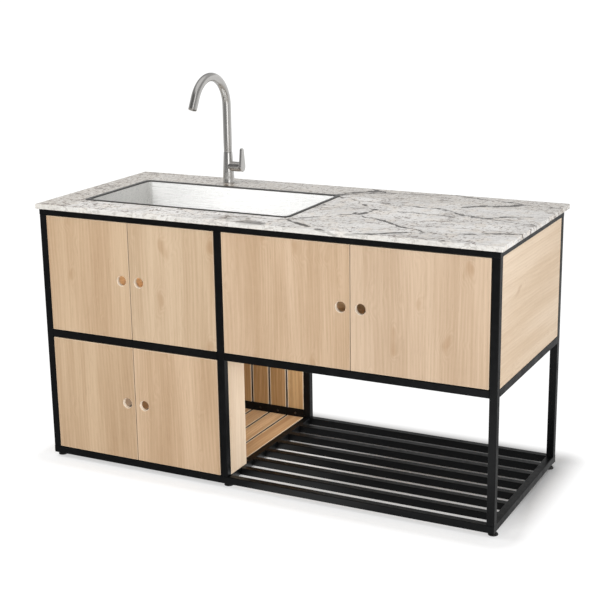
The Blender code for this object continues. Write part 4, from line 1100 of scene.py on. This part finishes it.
def make_floor():
    """A white floor. The camera sees it glow, but less under and round the object, where shadow shows.

    Metal sees it as it sees the surround, and its colour is darkened under the back of the shelf as a painted
    shadow.
    """
    pale, painted_shadow_grey = (0.86, 0.86, 0.86, 1), (0.25, 0.25, 0.25, 1)
    material, tree, shader = finish("white_floor", pale, 0.9)
    centred = stretch(tree, coordinates(tree), place=(0, -0.02, 0))
    away = calc_vector(tree, "ABSOLUTE", centred)[0]
    away = calc_vector(tree, "SUBTRACT", away, (0.80, 0.33, 0))[0]
    away = calc_vector(tree, "MAXIMUM", away)[0]
    away = calc_vector(tree, "LENGTH", away)["Value"]
    along, depth = split(tree, centred)[:2]
    under = fade(tree, depth, -0.40, 0.10, 0.50, 0.0)
    share = calc(tree, "MAXIMUM", under, fade(tree, away, 0.0, 0.14, 0.0, 0.95))
    # A painted shadow: the floor's own colour is darkened under the back of the shelf.
    painted_floor_shadow = times(
        tree, fade(tree, depth, -0.05, 0.25), fade(tree, away, 0.04, 0.16, 1.0, 0.0),
        fade(tree, along, 0.72, 0.80, 1.0, 0.0),
    )
    feed(tree, shader, {"Base Color": tint(tree, painted_floor_shadow, pale, painted_shadow_grey)})
    ray = add(tree, "LightPath", {})
    glow = add(tree, "Emission", {"Color": white, "Strength": 1.12})[0]
    seen = times(tree, ray["Is Camera Ray"], share)
    mixed = add(tree, "MixShader", {0: seen, 1: shader.outputs[0], 2: glow})[0]
    from_tap = stretch(tree, coordinates(tree), (1, 1, 0), (-tap_x, -tap_y, 0))
    mirrored = place_effect(tree, SURROUND, {"Vector": from_tap})["Value"]
    mirrored = add(tree, "Emission", {"Color": white, "Strength": mirrored})[0]
    glossy = times(tree, ray["Is Glossy Ray"], 0.85)
    mixed = add(tree, "MixShader", {0: glossy, 1: mixed, 2: mirrored})[0]
    feed(tree, tree.nodes["Material Output"], {"Surface": mixed})
    return material


floor_reach = 30
floor_mesh = bpy.data.meshes.new("studio_floor")
floor_corners = [(x * floor_reach, y * floor_reach, 0) for x, y in ((-1, -1), (1, -1), (1, 1), (-1, 1))]
floor_mesh.from_pydata(floor_corners, [], [(0, 1, 2, 3)])
floor_mesh.materials.append(make_floor())
studio_floor = bpy.data.objects.new("studio_floor", floor_mesh)
bpy.context.scene.collection.objects.link(studio_floor)

world = bpy.data.worlds.new("studio")
bpy.context.scene.world = world
world.use_nodes = True
sky = world.node_tree
ray = add(sky, "LightPath", {})
around = add(sky, "TexCoord", {})["Generated"]
mirrored = times(sky, place_effect(sky, SURROUND, {"Vector": around})["Value"], ray["Is Glossy Ray"])
diffuse_sky = times(sky, ray["Is Diffuse Ray"], 0.60)
strength = ray["Is Camera Ray"]
for other in (mirrored, ray["Is Transmission Ray"], diffuse_sky):
    strength = calc(sky, "MAXIMUM", strength, other)
feed(sky, sky.nodes["Background"], {"Color": white, "Strength": strength})


def lamp(name, place, target, power, size, height=None, colour=white, spread=180):
    """A soft lamp that faces a point and isn't seen: square, or a rectangle where a height is given."""
    light = bpy.data.lights.new(name, "AREA")
    light.energy = power
    light.size = size
    light.color = colour[:3]
    light.spread = np.radians(spread)
    if height:
        light.shape = "RECTANGLE"
        light.size_y = height
    made = bpy.data.objects.new(name, light)
    made.location = place
    made.rotation_euler = (Vector(target) - Vector(place)).to_track_quat("-Z", "Y").to_euler()
    bpy.context.scene.collection.objects.link(made)
    made.visible_glossy = False
    made.visible_camera = False


warm_white = (1.0, 0.82, 0.62, 1)
lamp("lamp_right", (4.6, -2.6, 1.25), (-0.1, 0.0, 0.35), 104, 2.2)
lamp("lamp_front", (-0.6, -5.2, 2.2), (-0.2, 0.0, 0.4), 47, 2.6)
lamp("lamp_above", (-1.5, -0.9, 3.0), (-0.1, -0.1, 0.9), 36, 1.8)
lamp("fill_open_bay", (0.12, 0.10, 0.37), (-0.35, 0.25, 0.10), 1.55, 0.12)
lamp("fill_bowl", (-0.30, -0.150, 0.87), (-0.26, 0.18, 0.79), 0.40, 0.50, 0.02)
lamp("fill_upper_left", (-0.46, -0.24, 0.60), (-0.46, 0.5, 0.60), 1.1, 0.50, 0.16, warm_white, 100)

view = bpy.data.cameras.new("view")
view.sensor_width = 36.0
view.lens = 81.583
camera = bpy.data.objects.new("view", view)
camera_place = (2.00239, -3.94019, 1.78116)
yaw, pitch, roll = 0.47011, -0.26631, -0.01545
forward = Vector((-np.sin(yaw) * np.cos(pitch), np.cos(yaw) * np.cos(pitch), np.sin(pitch)))
level = Vector((np.cos(yaw), np.sin(yaw), 0.0))
upright = level.cross(forward)
right = np.cos(roll) * level + np.sin(roll) * upright
up = -np.sin(roll) * level + np.cos(roll) * upright
turned_view = Matrix((right, up, -forward)).transposed().to_4x4()
camera.matrix_world = Matrix.Translation(camera_place) @ turned_view
bpy.context.scene.collection.objects.link(camera)
bpy.context.scene.camera = camera
bpy.context.scene.view_settings.view_transform = "Standard"
